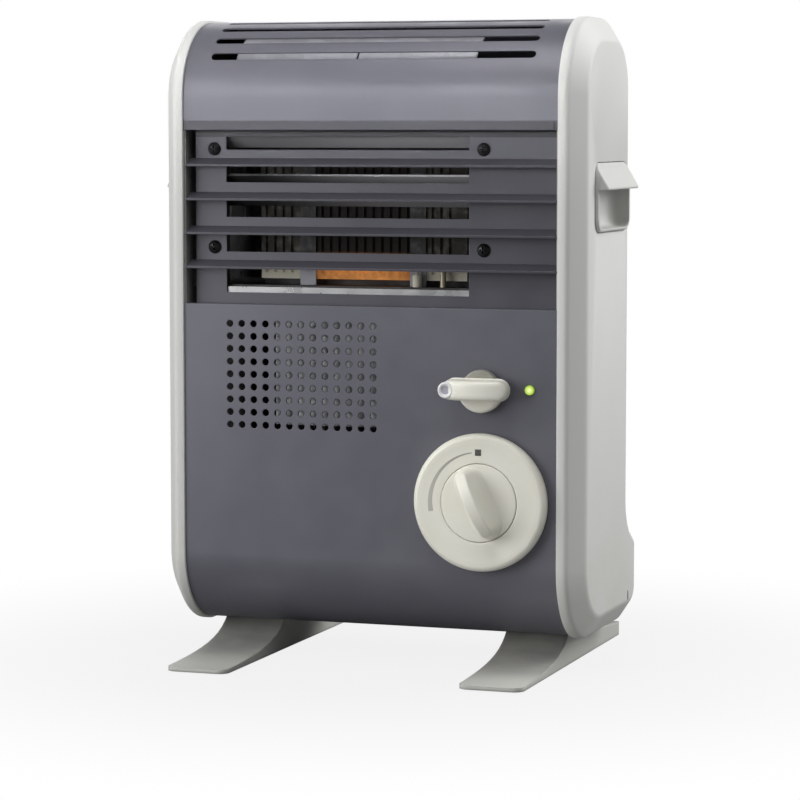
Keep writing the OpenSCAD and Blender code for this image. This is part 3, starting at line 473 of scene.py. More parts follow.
def dark_plastic(name):
    """Black moulded plastic with a matt spark-eroded grain."""
    f = Finish(name, 0.55, Specular_IOR_Level=0.4)
    grain = f.noise(1900, 3)
    base = f.blend(f.ramp(grain, 0.3, 0.7), (30, 30, 32), (46, 46, 48))
    worn = f.times(f.edges(0.6), 0.45)
    f.paint(f.blend(worn, base, (84, 84, 86)))
    f.rough(f.cloud(200, 3, 0.48, 0.64))
    f.bump(grain, 0.04, 0.5)
    return f.material


def screw_black(name):
    """Blackened steel, with the black rubbed off at the edges of the cross."""
    f = Finish(name, 0.36, 0.7)
    base = f.blend(f.cloud(300, 3), (26, 26, 28), (44, 44, 47))
    rubbed = f.times(f.edges(0.4), f.ramp(f.noise(700, 3), 0.35, 0.6, 0.1, 0.6))
    f.paint(f.blend(rubbed, base, (120, 120, 124)))
    f.rough(f.cloud(500, 2, 0.28, 0.46))
    f.bump(f.noise(2000, 2), 0.01, 0.5)
    return f.material


def rubber(name):
    """Black rubber, dusty where it meets the floor."""
    f = Finish(name, 0.82, Specular_IOR_Level=0.3)
    dust = f.ramp(f.noise(420, 4), 0.45, 0.7, 0.0, 0.5)
    f.paint(f.blend(dust, (34, 34, 34), (82, 80, 76)))
    f.bump(f.noise(1200, 3), 0.08, 0.6)
    return f.material


def aluminium(name):
    """Extruded aluminium with fine die lines."""
    f = Finish(name, 0.34, 1.0)
    lines = f.noise(1100, 2, (1, 1, 0.03))
    f.paint(f.blend(lines, (176, 178, 181), (212, 213, 215)))
    f.rough(f.cloud(40, 3, 0.28, 0.44))
    f.bump(lines, 0.01, 0.5)
    return f.material


def tinplate(name):
    """Lacquered tinplate, rolled lengthwise, with faint scuffs."""
    f = Finish(name, 0.3, 0.72, Coat_Weight=0.15, Coat_Roughness=0.2)
    rolled = f.noise(260, 3, (0.05, 1, 1))
    base = f.blend(rolled, (184, 185, 187), (208, 209, 210))
    scuff = f.ramp(f.noise(90, 5, (3, 1, 1)), 0.6, 0.68, 0.0, 0.2)
    f.paint(f.blend(scuff, base, (156, 157, 160)))
    f.rough(f.cloud(70, 3, 0.24, 0.38))
    f.bump(rolled, 0.008, 0.4)
    return f.material


def lamp_lens(name):
    """The lit lens of the small lamp, brighter towards its middle."""
    f = Finish(name, 0.25)
    lo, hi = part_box("led_lens")
    middle = (lo + hi) / 2
    offset = f.add("ShaderNodeVectorMath")
    offset.operation = "DISTANCE"
    f.join(f.place, offset.inputs[0])
    offset.inputs[1].default_value = (middle.x, lo.y, middle.z)
    core = f.ramp(offset.outputs["Value"], 0.3 * MM, 3.4 * MM, 1.0, 0.0)
    light = f.blend(core, (150, 186, 52), (232, 246, 156))
    f.paint(light)
    f.paint(light, "Emission Color")
    f.shader.inputs["Emission Strength"].default_value = 0.62
    f.bump(f.cloud(900, 2, 0.9, 1.0), 0.02, 0.3)
    return f.material


def wire(name):
    """Red insulated lead."""
    f = Finish(name)
    f.paint(f.blend(f.cloud(300, 3), (140, 22, 20), (176, 40, 34)))
    f.bump(f.noise(900, 2), 0.03, 0.5)
    return f.material


def printed_ink(name, low, high, fades=False):
    """Thin print with a slight unevenness. Where it fades, it is paler at the scale's wide end."""
    f = Finish(name)
    base = f.blend(f.cloud(1400, 3), low, high)
    if fades:
        base = f.blend(f.ramp(f.along(0), 45 * MM, 62 * MM, 0.75, 0.0), base, (206, 205, 195))
    f.paint(base)
    f.bump(f.noise(2600, 2), 0.01, 0.4)
    return f.material


def tinted_plastic(name, low, high):
    """Satin plastic between two tones, with a fine grain."""
    f = Finish(name, 0.42)
    f.paint(f.blend(f.cloud(90, 3), low, high))
    f.rough(f.cloud(300, 3, 0.36, 0.5))
    f.bump(f.noise(1700, 2), 0.02, 0.4)
    return f.material


# One finish for each slot of the record
FINISHES = {make.__name__: make(make.__name__) for make in (
    panel_paint, cover_plastic, cream_plastic, zinc_steel, burner_steel, ceramic, brass,
    dark_plastic, screw_black, rubber, aluminium, tinplate, lamp_lens, wire)}
FINISHES["dark_door"] = panel_paint("dark_door")
FINISHES["hot_ceramic"] = ceramic("hot_ceramic", glow=0.42)
# Finishes of single pieces, which differ from their slot's
SOOT_AND_SHADE = inner_steel_soot_and_shade("inner_steel_soot_and_shade")
BAFFLE = zinc_steel("baffle_steel", (214, 214, 222), (230, 230, 238), 0.5)
VANE = vane_steel("vane_steel")
POST = post_steel("post_steel")
TUBE = tube_brass("tube_brass")
# The feet: greyer as painted shade, with the heater's painted shadow on their tops
SHADED_FOOT = cover_plastic("foot_shaded_plastic", 0.5, 2.2)
# The grips: greyer all over, as painted shade
SHADED_GRIP = cover_plastic("grip_plastic", 0.28)
# The louvre blades: the panel's paint in darker tones, as painted shade
SHADED_BLADE = panel_paint("blade_shaded_paint", (70, 70, 77), (79, 79, 86))
# The louvre plate: darker tones as painted shade behind the blades, and a painted shadow under the
# hood above 349.8 mm
SHADED_LOUVRE = panel_paint("louvre_shaded_paint", (86, 86, 94), (94, 94, 102), (349.8, 380, (62, 62, 68)))
# The hood: painted shade on its hem, a darker strip from 340 to 360.6 mm in front
HOOD_SHADED = panel_paint("hood_shaded_paint", shade_band=(340, 360.6, (77, 77, 84)))
INK = printed_ink("printed_ink", (164, 163, 155), (180, 179, 170), fades=True)
DARK_INK = printed_ink("dark_ink", (72, 72, 70), (104, 104, 100))
COLLAR = tinted_plastic("collar_plastic", (146, 145, 134), (162, 160, 150))
EYE = tinted_plastic("eye_plastic", (238, 238, 240), (246, 246, 247))
CORE = tinted_plastic("core_plastic", (160, 160, 176), (184, 184, 196))


def dress(obj, material):
    """Gives all faces of an object one material."""
    obj.data.materials.clear()
    obj.data.materials.append(material)
    for face in obj.data.polygons:
        face.material_index = 0


def piece(name, verts, faces, body, slot, stands_for=(), material=None, sharp=40):
    """A mesh piece that rides on a body and takes its finish from a slot of the record.

    It takes the place of the nodes it stands for. Edges sharper than sharp degrees stay crisp.
    """
    mesh = bpy.data.meshes.new(name)
    mesh.from_pydata(verts, [], faces)
    shape = bmesh.new()
    shape.from_mesh(mesh)
    bmesh.ops.remove_doubles(shape, verts=shape.verts, dist=0.003 * MM)
    bmesh.ops.dissolve_degenerate(shape, edges=shape.edges, dist=0.002 * MM)
    bmesh.ops.recalc_face_normals(shape, faces=shape.faces)
    for line in shape.edges:
        if len(line.link_faces) == 2:
            line.smooth = line.calc_face_angle() < math.radians(sharp)
    shape.to_mesh(mesh)
    shape.free()
    for face in mesh.polygons:
        face.use_smooth = True
    obj = bpy.data.objects.new(name, mesh)
    SCENE.collection.objects.link(obj)
    dress(obj, material or FINISHES[slot])
    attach(obj, body)
    if stands_for:
        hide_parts(*stands_for)
    return obj


def grid_faces(rows, columns, close_rows=False, close_columns=False):
    """Quads between the points of a grid that is stored row by row."""
    faces = []
    for i in range(rows if close_rows else rows - 1):
        for j in range(columns if close_columns else columns - 1):
            here, below = i * columns, (i + 1) % rows * columns
            after = (j + 1) % columns
            faces.append((here + j, here + after, below + after, below + j))
    return faces


def caps(count, rings):
    """The first and last of a number of closed rings as one face each."""
    last = (rings - 1) * count
    return [tuple(range(count)), tuple(range(last, last + count))]


def arc(centre, radius, start, end, steps, skip=0):
    """Points on an arc from start to end degrees, without the first few if skip is set."""
    turns = [math.radians(start + (end - start) * i / steps) for i in range(skip, steps + 1)]
    return [(centre[0] + radius * math.cos(a), centre[1] + radius * math.sin(a)) for a in turns]


def outline(inset):
    """The heater's side outline in (y, z), moved inward by inset."""
    swell_h = SWELL_TOP - SWELL_BOTTOM
    swell_a = 2 * math.degrees(math.atan((BULGE_Y - REAR_Y) / swell_h))
    swell_r = swell_h / (2 * math.sin(math.radians(swell_a)))
    fine, middling, coarse = 30, 18, 16
    return (
        arc((FRONT_Y + FRONT_R, TOP_Z - FRONT_R), FRONT_R - inset, 180, 90, fine)
        + arc((REAR_Y - REAR_R, TOP_Z - REAR_R), REAR_R - inset, 90, 0, fine)
        + arc((REAR_Y + swell_r, SWELL_TOP), swell_r + inset, 180, 180 + swell_a, coarse)
        + arc((BULGE_Y - swell_r, SWELL_BOTTOM), swell_r - inset, swell_a, 0, coarse, 1)
        + arc((BULGE_Y - HEEL_R, BOTTOM_Z + HEEL_R), HEEL_R - inset, 0, -90, middling)
        + arc((FRONT_Y + CHIN_R, BOTTOM_Z + CHIN_R), CHIN_R - inset, -90, -180, fine)
    )


def rounded_loop(half_w, half_h, radius, centre, steps=8):
    """A rectangle with round corners, as points in (y, z)."""
    points = []
    for sy, sz, start in ((1, 1, 0), (-1, 1, 90), (-1, -1, 180), (1, -1, 270)):
        corner = (centre[0] + sy * (half_w - radius), centre[1] + sz * (half_h - radius))
        points += arc(corner, radius, start, start + 90, steps)
    return points


def bend(p0, p1, p2):
    """Points of a soft corner from p0 past p1 to p2."""
    steps = 6
    return [tuple((1 - t) ** 2 * a + 2 * t * (1 - t) * b + t * t * c
                  for a, b, c in zip(p0, p1, p2))
            for t in (i / steps for i in range(steps + 1))]


NO_LENGTH = 0.0001 * MM


def fill_between(verts, outer, inner):
    """Triangles of the flat face between an outer loop and a window in it."""
    shape = bmesh.new()
    loops = (list(outer), list(inner))
    points = {i: shape.verts.new(verts[i]) for loop in loops for i in loop}
    index = {v: i for i, v in points.items()}
    lines = []
    for loop in loops:
        for a, b in zip(loop, loop[1:] + loop[:1]):
            if (Vector(verts[a]) - Vector(verts[b])).length > NO_LENGTH:
                lines.append(shape.edges.new((points[a], points[b])))
    made = bmesh.ops.triangle_fill(shape, use_beauty=True, use_dissolve=False, edges=lines)
    faces = [tuple(index[v] for v in item.verts) for item in made["geom"]
             if isinstance(item, bmesh.types.BMFace)]
    shape.free()
    return faces


handle_lo, handle_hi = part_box("right_handle")
HANDLE_Z = (handle_lo.z + handle_hi.z) / 2
HANDLE_W = handle_hi.y
HANDLE_H = (handle_hi.z - handle_lo.z) / 2
HANDLE_R = 9 * MM
SEAM = 0.45 * MM


def side_cover(side, name):
    """A moulded cover: a rim, a bevel with soft corners, a flat face with the handle's window."""
    slope = BEVEL_INSET / BEVEL_W
    soft = 1.6 * MM
    # The outer skin: rings of (x, inset) from the inner edge to the flat face
    front = [(COVER_IN, COVER_WALL), (COVER_IN, 0.5 * MM), (COVER_IN + 0.15 * MM, 0.15 * MM),
             (COVER_IN + 0.5 * MM, 0.0), (COVER_RIM - 2.6 * MM, 0.0)]
    front += bend((COVER_RIM - 2.2 * MM, 0.0), (COVER_RIM, 0.0), (COVER_RIM + soft, soft * slope))
    front += bend((COVER_FACE - soft, BEVEL_INSET - soft * slope), (COVER_FACE, BEVEL_INSET),
                  (COVER_FACE, BEVEL_INSET + 1.9 * MM))
    # The inner skin, from the back of the flat face to the inner edge
    inner_face = COVER_FACE - COVER_WALL
    back = [(inner_face, front[-1][1]), (inner_face, BEVEL_INSET + 0.5 * MM),
            (COVER_RIM - 0.5 * MM, COVER_WALL)]
    count = len(outline(0))
    verts = [(side * x, y, z) for x, inset in front + back for y, z in outline(inset)]
    # The rows on both sides of the flat face aren't joined, since the window runs through it
    faces = grid_faces(len(front), count, close_columns=True)
    behind = grid_faces(len(back) + 1, count, close_columns=True)
    start = len(front) * count
    total = len(verts)
    faces += [tuple((start + i) % total for i in f) for f in behind]
    # The window's edge, from the outer face inward: each ring is (x, how much wider)
    opening = ((COVER_FACE, 0.35 * MM), (COVER_FACE - 0.12 * MM, 0.1 * MM),
               (COVER_FACE - 0.4 * MM, 0.0), (inner_face, 0.0))
    first = total
    for x, wider in opening:
        loop = rounded_loop(HANDLE_W + SEAM + wider, HANDLE_H + SEAM + wider, HANDLE_R + wider,
                            (0.0, HANDLE_Z))
        verts += [(side * x, y, z) for y, z in loop]
    size = len(loop)
    last = len(verts) - size
    faces += [tuple(first + i for i in f)
              for f in grid_faces(len(opening), size, close_columns=True)]
    faces += fill_between(verts, range(start - count, start), range(first, first + size))
    faces += fill_between(verts, range(start, start + count), range(last, last + size))
    piece(name, verts, faces, "casing", "cover_plastic", [name.replace("shell", "side_cover")],
          sharp=50)


def share_of(value, whole):
    """A value's share of a whole, kept between 0 and 1."""
    return min(1.0, max(0.0, value / whole))


def corner_fall(radius, past):
    """How far a round corner has fallen away, past its start."""
    return radius - math.sqrt(max(0.0, radius ** 2 - max(0.0, past) ** 2))


# The hood's profile: how far it stands out, as a share, so many mm below the grip's top
HOOD_DROPS = [0.5, 2.2, 4.0, 6.4, 9.0, 11.6, 13.9, 15.6, 16.5]
HOOD_SHARES = [0.0, 0.06, 0.16, 0.32, 0.5, 0.68, 0.84, 0.95, 0.985]
# The grip's sections, in mm from its middle, closer where the form turns
HALF_STATIONS = [40, 39.97, 39.9, 39.8, 39.6, 39.35, 39.05, 38.8, 38.2, 37.5, 37.1, 36.95, 36.7,
                 36.4, 36, 35.5, 34.8, 34, 33, 32, 31, 29.5, 28, 26.5, 25, 22, 18, 13, 7, 0]


def handle(side, name):
    """A grip moulded as a pocket, with a hood that swells out over the fingers."""
    crest = HANDLE_Z + HANDLE_H
    lip_out = handle_hi.x - COVER_FACE
    lip_z = 315.9 * MM
    tall = crest - lip_z
    hood_wall = 2.3 * MM
    pocket_middle = HANDLE_Z - 1 * MM
    ceiling = pocket_middle + 19.5 * MM
    floor = pocket_middle - 19.5 * MM
    pocket_depth = 10 * MM
    pocket_half = 37.1 * MM
    pocket_corner = 7 * MM
    round_from, round_over = 26.6 * MM, 10.6 * MM
    fullness = 2.2
    proud = 2.3 * MM
    proud_over = 12 * MM
    swell_start, swell_over = 0.3 * MM, 2.4 * MM
    skirt = -4 * MM
    edge = 0.5 * MM
    low_edge = 1.5 * MM
    side_edge = 0.8 * MM

    def frame_out(z):
        """How far the frame around the pocket stands out at a height."""
        share = share_of(crest - z, proud_over)
        return proud * share * share * (3 - 2 * share)

    def hood_share(z, share):
        """The hood's share at a height, which a rounded corner of the frame cuts off lower."""
        under = (crest - z) / MM
        steps = zip(HOOD_DROPS, HOOD_DROPS[1:], HOOD_SHARES, HOOD_SHARES[1:])
        for start, end, low, high in steps:
            if under < end:
                t = max(0.0, (under - start) / (end - start))
                return max(share, low + t * (high - low))
        return share

    hood = [(share, drop * MM / tall) for share, drop in zip(HOOD_SHARES, HOOD_DROPS)]
    hood += [(0.97, 1 - 0.35 * MM / tall), (0.92, 1.0)]
    stations = [-h * MM for h in HALF_STATIONS] + [h * MM for h in HALF_STATIONS[-2::-1]]
    verts = []
    rows = len(stations) + 2
    for row, y in enumerate([stations[0]] + stations + [stations[-1]]):
        far = abs(y)
        at_end = row in (0, rows - 1)
        corner = corner_fall(HANDLE_R, far - HANDLE_W + HANDLE_R)
        top = crest - corner
        bottom = HANDLE_Z - HANDLE_H + corner
        sill = floor + corner_fall(pocket_corner,
                                   min(far, pocket_half) - pocket_half + pocket_corner)
        drop = corner_fall(side_edge, far - HANDLE_W + side_edge)
        out = lip_out * (1 - (1 - share_of(HANDLE_W - swell_start - far, swell_over)) ** fullness)
        depth = 0.0
        if far < pocket_half:
            reach = max(0.0, (far - round_from) / round_over)
            depth = pocket_depth * max(0.0, 1 - reach ** fullness) ** (1 / fullness)
        outer = []
        for share, below in hood:
            z = top - below * (top - lip_z)
            outer.append((max(out * hood_share(z, share), frame_out(z)), z))
        inner = [(out * 0.92 - 0.9 * MM, lip_z),
                 (out * 0.92 - hood_wall * 0.7, lip_z + 0.4 * MM),
                 (out * 0.84 - hood_wall, lip_z + 1.8 * MM),
                 (out * 0.5 - hood_wall, top - 10.4 * MM),
                 (out * 0.2 - hood_wall - 0.6 * MM, top - 6.4 * MM),
                 (-hood_wall - 2.4 * MM, ceiling - 0.5 * MM)]
        pocket = [(max(x, -depth), z) for x, z in inner]
        pocket += [(-0.55 * depth, ceiling), (-0.85 * depth, ceiling - 0.8 * MM),
                   (-0.97 * depth, ceiling - 3.4 * MM), (-depth, ceiling - 7 * MM),
                   (-depth, HANDLE_Z), (-depth, sill + 9 * MM), (-0.95 * depth, sill + 4.6 * MM),
                   (-0.84 * depth, sill + 1.9 * MM), (-0.66 * depth, sill + 0.5 * MM),
                   (-0.3 * depth, sill), (proud - 0.9 * MM, sill),
                   (proud - 0.3 * MM, sill - 0.12 * MM), (proud, sill - 0.45 * MM)]
        if far >= pocket_half - 0.1 * MM:
            # Beside the pocket its points lie on the frame, each no higher than the one before
            low = lip_z
            for i, (_, z) in enumerate(pocket):
                low = max(min(low, z), bottom + low_edge)
                pocket[i] = (frame_out(low), low)
        rim = [(skirt, top), (-edge, top), (-0.3 * edge, top - 0.3 * edge)]
        foot = arc((proud - low_edge, bottom + low_edge), low_edge, 0, -90, 5) + [(skirt, bottom)]
        for x, z in rim + outer + pocket + foot:
            x = skirt if at_end or x == skirt else x - drop
            verts.append((side * (COVER_FACE + x), y, z))
    obj = piece(name, verts, grid_faces(rows, len(verts) // rows), "casing", "cover_plastic",
                [name.replace("grip", "handle")], SHADED_GRIP, sharp=48)
    wall = obj.modifiers.new("wall", "SOLIDIFY")
    wall.thickness = 0.9 * MM
    wall.offset = -1


def cover_slot(side, name):
    """The narrow moulded slot low at the rear of a cover: a dark well with a lip around it."""
    half_w, half_h, radius, steps = 0.95 * MM, 3.1 * MM, 0.45 * MM, 4
    centre = (49 * MM, 40 * MM)
    verts = []
    rings = ((-0.6, 0.0), (0.03, 0.0), (0.07, -0.08), (0.05, -0.4))
    for x, wider in rings:
        for y, z in rounded_loop(half_w + wider * MM, half_h + wider * MM, radius, centre, steps):
            verts.append((side * (COVER_FACE + x * MM), y, z))
    count = len(verts) // len(rings)
    faces = grid_faces(len(rings), count, close_columns=True) + caps(count, len(rings))
    piece(name, verts, faces, "casing", "dark_plastic")


for side, word in ((-1, "left"), (1, "right")):
    side_cover(side, f"{word}_shell")
    handle(side, f"{word}_grip")
    cover_slot(side, f"{word}_cover_slot")


def turned(profile, centre, steps=96):
    """Points and faces of a closed profile of (radius, height), turned about a line along Y."""
    verts = []
    for radius, height in profile:
        for i in range(steps):
            a = 2 * math.pi * i / steps
            verts.append((centre.x + radius * math.sin(a), FACE_Y - height,
                          centre.z + radius * math.cos(a)))
    return verts, grid_faces(len(profile), steps, close_rows=True, close_columns=True)


def disc(radius, corner, foot, height):
    """A disc's profile from the points at its foot up to the start of its face."""
    steps = 6
    return foot + arc((radius - corner, height - corner), corner, 0, 90, steps, 1)


def dial_plate():
    """The fixed plate: a rolled rim, a faintly dished scale and the well of the knob."""
    deep = DIAL_DEPTH
    roll = 4 * MM
    well = KNOB_R - 0.25 * MM
    well_floor = 2.5 * MM
    bore = 3.6 * MM
    profile = [(bore, 0.0), (DIAL_R - 2 * MM, 0.0), (DIAL_R - 0.6 * MM, 0.5 * MM),
               (DIAL_R - 0.1 * MM, 1.6 * MM), (DIAL_R, 2.8 * MM), (DIAL_R, 4 * MM)]
    profile += arc((DIAL_R - roll, deep - roll), roll, 9, 99, 10)
    profile += [(DIAL_R - 5 * MM, deep), (DIAL_R - 6.5 * MM, deep - 0.12 * MM),
                (DIAL_R - 9 * MM, deep - SCALE_DISH), (well + 3 * MM, deep - SCALE_DISH),
                (well + 0.8 * MM, deep - SCALE_DISH), (well + 0.3 * MM, deep - 0.35 * MM),
                (well + 0.05 * MM, deep - 0.65 * MM), (well, deep - 1.2 * MM),
                (well, well_floor), (bore, well_floor)]
    piece("dial_ring", *turned(profile, DIAL, 128), "casing", "cream_plastic", ["dial_plate"],
          sharp=50)


def sag(bow, u):
    """How far a crown of radius bow has dropped at a distance u from its middle."""
    return bow - math.sqrt(bow ** 2 - u ** 2)


def ring_bar(levels, bottom, top, bow, middle, tilt):
    """A bar built up from outlines of (half width, half length) in mm.

    Each has its share of the way from the flat bottom to the top, a crown of radius bow.
    """
    rows = 26
    verts = []
    for half_w, half_l, share in levels:
        half_w *= MM
        half_l *= MM
        loop = []
        for i in range(rows + 1):
            u = -half_l * math.cos(math.pi * i / rows)
            end = min(1.0, (half_l - abs(u)) / half_w)
            loop.append((u, half_w * math.sqrt(max(0.0, 1 - (1 - end) ** 2))))
        loop += [(u, -v) for u, v in loop[-2:0:-1]]
        for u, v in loop:
            x = v * math.cos(tilt) - u * math.sin(tilt)
            z = v * math.sin(tilt) + u * math.cos(tilt)
            height = bottom + share * (top - bottom - sag(bow, u))
            verts.append((middle.x + x, FACE_Y - height, middle.z + z))
    return verts, grid_faces(len(levels), 2 * rows, close_columns=True)


def dial_knob():
    """The turning knob: a low disc and a wedge-shaped grip that rises from it in soft coves."""
    face = DIAL_DEPTH + 0.1 * MM
    dish = 0.2 * MM
    rim = KNOB_R - 0.6 * MM
    back = 2.9 * MM
    core = 0.5 * MM
    turn = 0.6 * MM
    foot = [(core, back), (rim - 1 * MM, back), (rim, 3.4 * MM), (rim, face - turn)]
    profile = disc(rim, turn, foot, face)
    profile += [(rim - 3 * MM, face), (rim - 12 * MM, face - 0.15 * MM), (core, face - dish)]
    piece("knob_disc", *turned(profile, DIAL, 128), "dial", "cream_plastic",
          ["dial_knob", "valve_spindle"], sharp=50)
    grip_top, bow = 25 * MM, 40 * MM
    levels = [(11.2, 24.6, 0.0), (9.7, 24.7, 0.02), (8.4, 24.7, 0.07), (7.4, 24.6, 0.15),
              (6.5, 24.4, 0.28), (5.7, 24.0, 0.45), (5.0, 23.5, 0.64), (4.4, 23.0, 0.82),
              (4.0, 22.6, 0.93), (3.75, 22.4, 0.975), (3.4, 22.1, 0.995), (2.9, 21.7, 1.0),
              (1.6, 20.6, 1.0), (0.02, 19.6, 1.0)]
    piece("knob_grip", *ring_bar(levels, face - dish, grip_top, bow, DIAL, GRIP_TILT), "dial",
          "cream_plastic", sharp=50)


def set_lever():
    """The lock lever: a round hub and an arched grip bar with a dimple in its left end."""
    core, back = 0.5 * MM, 0.8 * MM
    hub_r, face, turn = 15.3 * MM, 7 * MM, 2.4 * MM
    flat_top = LEVER.z + 4.5 * MM
    foot = [(core, back), (hub_r - 0.8 * MM, back), (hub_r, 1.4 * MM), (hub_r, face - turn)]
    profile = disc(hub_r, turn, foot, face) + [(hub_r - 6 * MM, face), (core, face)]
    verts, faces = turned(profile, LEVER)
    verts = [(x, y, min(z, flat_top)) for x, y, z in verts]
    piece("lever_hub", verts, faces, "lever", "cream_plastic", ["set_lever"], sharp=50)
    # A collar in a greyer tone shows above the hub's flat top
    collar_r, collar, turn = 12.6 * MM, 6.2 * MM, 1.6 * MM
    foot = [(core, back), (collar_r, back), (collar_r, collar - turn)]
    profile = disc(collar_r, turn, foot, collar) + [(core, collar)]
    piece("lever_collar", *turned(profile, LEVER), "lever", "cream_plastic", material=COLLAR,
          sharp=50)
    top, bow = 20 * MM, 48 * MM
    middle = Vector((LEVER.x - 1.4 * MM, FACE_Y, LEVER.z))
    levels = [(7.4, 22.3, 0.0), (6.7, 22.4, 0.06), (6.5, 22.4, 0.14), (6.45, 22.4, 0.5),
              (6.3, 22.3, 0.78), (5.9, 21.9, 0.9), (5.2, 21.3, 0.96), (4.2, 20.4, 0.99),
              (2.6, 19.0, 1.0), (1.0, 17.6, 1.0), (0.02, 16.8, 1.0)]
    piece("lever_grip", *ring_bar(levels, face - 0.5 * MM, top, bow, middle, -math.pi / 2),
          "lever", "cream_plastic", sharp=50)
    # The eye in the bar's left end: its heights are in mm above the crown
    eye_out = 17.9 * MM
    eye = Vector((middle.x - eye_out, FACE_Y, LEVER.z))
    rise = (top - sag(bow, eye_out) + 1.1 * MM) / MM
    ring = ((5.4, -4), (5.4, -0.4), (5.2, 0.2), (4.7, 0.6), (4.1, 0.65), (3.5, 0.4),
            (3.0, -0.1), (2.7, -0.5), (2.5, -4))
    ring = [(r * MM, (rise + h) * MM) for r, h in ring]
    piece("lever_eye", *turned(ring, eye, 64), "lever", "cream_plastic", material=EYE, sharp=60)
    plug = ((0.02, -1.2), (0.02, -0.55), (1.2, -0.5), (2.7, -0.35), (2.8, -1.2))
    plug = [(r * MM, (rise + h) * MM) for r, h in plug]
    piece("lever_eye_core", *turned(plug, eye, 48), "lever", "cream_plastic", material=CORE,
          sharp=60)


dial_plate()
dial_knob()
set_lever()


def cross_head(centre, forward, radius, dome):
    """A domed screw head with a cross recess, on the plane at centre; it faces forward (+-Y)."""
    rings = 14
    steps = 64
    recess = 0.7 * dome
    arm, arm_slope = 0.13 * radius, 0.05 * radius
    reach, reach_slope = 0.56 * radius, 0.08 * radius
    turns = [2 * math.pi * i / steps for i in range(steps)]
    verts = []
    for k in range(rings + 1):
        r = radius * k / rings
        height = dome * (1 - 0.75 * (k / rings) ** 2.2)
        for a in turns:
            x = r * math.sin(a)
            z = r * math.cos(a)
            inside = min(max(arm - min(abs(x), abs(z)), 0.0) / arm_slope,
                         max(reach - max(abs(x), abs(z)), 0.0) / reach_slope, 1.0)
            verts.append((centre[0] + x, centre[1] + forward * (height - recess * inside),
                          centre[2] + z))
    for a in turns:
        verts.append((centre[0] + radius * math.sin(a), centre[1],
                      centre[2] + radius * math.cos(a)))
    faces = grid_faces(rings + 2, steps, close_columns=True)
    return verts, faces + caps(steps, rings + 2)[1:]


def screws(name, node, slot, plane, forward, radius, dome):
    """All the screws of a node, with domed cross heads on the plane at y."""
    lo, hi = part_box(node)
    verts, faces = [], []
    for x in (lo.x + radius, hi.x - radius):
        for z in (lo.z + radius, hi.z - radius):
            more, quads = cross_head((x, plane, z), forward, radius * 0.98, dome)
            faces += [tuple(len(verts) + i for i in f) for f in quads]
            verts += more
    piece(name, verts, faces, "casing", slot, [node], sharp=45)


screws("louvre_screw_heads", "louvre_screws", "screw_black", LOUVRE_Y, -1, 4.5 * MM, 2.3 * MM)
screws("rear_screw_heads", "rear_screws", "zinc_steel", REAR_FACE, 1, 4 * MM, 1.4 * MM)


def on_dial(angle, radius, lift):
    """A place on the dial plate; the angle is clockwise from the top, as the viewer sees it."""
    a = math.radians(angle)
    return (DIAL.x + radius * math.sin(a), FACE_Y - DIAL_DEPTH + SCALE_DISH - lift,
            DIAL.z + radius * math.cos(a))


def dial_scale():
    """A generic scale: a grey wedge that widens as the dial turns up, and a square mark for off."""
    scale_r = 32.9 * MM
    start, sweep, steps = -8, -93, 40
    thin, widening = 0.35, 1.25
    sunk = -0.1 * MM
    verts = []
    for i in range(steps + 1):
        half = (thin + widening * i / steps) * MM
        for radius in (scale_r - half, scale_r + half):
            for lift in (sunk, 0.06 * MM):
                verts.append(on_dial(start + sweep * i / steps, radius, lift))
    faces = []
    for a in range(0, 4 * steps, 4):
        b = a + 4
        faces += [(a + 1, a + 3, b + 3, b + 1), (a, b, b + 2, a + 2), (a, a + 1, b + 1, b),
                  (a + 2, b + 2, b + 3, a + 3)]
    faces += [(0, 2, 3, 1), (4 * steps, 4 * steps + 1, 4 * steps + 3, 4 * steps + 2)]
    piece("scale_wedge", verts, faces, "casing", "dark_plastic", material=INK, sharp=30)
    half, radius = 2.1 * MM, 0.35 * MM
    verts = []
    for lift in (sunk, 0.07 * MM):
        centre = Vector(on_dial(-0.5, scale_r, lift))
        for dx, dz in rounded_loop(half, half, radius, (0.0, 0.0), 3):
            verts.append((centre.x + dx, centre.y, centre.z + dz))
    count = len(verts) // 2
    faces = grid_faces(2, count, close_columns=True) + caps(count, 2)
    piece("off_mark", verts, faces, "casing", "dark_plastic", material=DARK_INK, sharp=30)


dial_scale()


# CAD nodes that keep their own shape, with a finish other than their slot's
SPECIAL = {
    "guide_fins": VANE, "burner_brackets": POST, "thermocouple": TUBE, "left_foot": SHADED_FOOT,
    "right_foot": SHADED_FOOT, "louvre_blades": SHADED_BLADE, "louvre_plate": SHADED_LOUVRE, "top_hood": HOOD_SHADED,
    "top_baffle": BAFFLE, "burner_box": SOOT_AND_SHADE, "burner_tray": SOOT_AND_SHADE, "louvre_rails": SOOT_AND_SHADE,
    "left_side_plate": SOOT_AND_SHADE, "right_side_plate": SOOT_AND_SHADE, "fan_bracket": SOOT_AND_SHADE,
    "gas_divider": SOOT_AND_SHADE,
}
for part in frame["record"]["subparts"]:
    node = part["node"]
    dress(frame["nodes"][node], SPECIAL.get(node, FINISHES[part["material_slot"]]))


def camera_mix(tree, output, lit, seen, share=None):
    """Ends a tree in one shader for light that bounces and one that the camera sees."""
    rays = tree.nodes.new("ShaderNodeLightPath").outputs["Is Camera Ray"]
    if share:
        product = tree.nodes.new("ShaderNodeMath")
        product.operation = "MULTIPLY"
        tree.links.new(rays, product.inputs[0])
        tree.links.new(share, product.inputs[1])
        rays = product.outputs[0]
    mixed = tree.nodes.new("ShaderNodeMixShader")
    for start, socket in zip((rays, lit.outputs[0], seen.outputs[0]), mixed.inputs):
        tree.links.new(start, socket)
    tree.links.new(mixed.outputs[0], tree.nodes.new(output).inputs["Surface"])


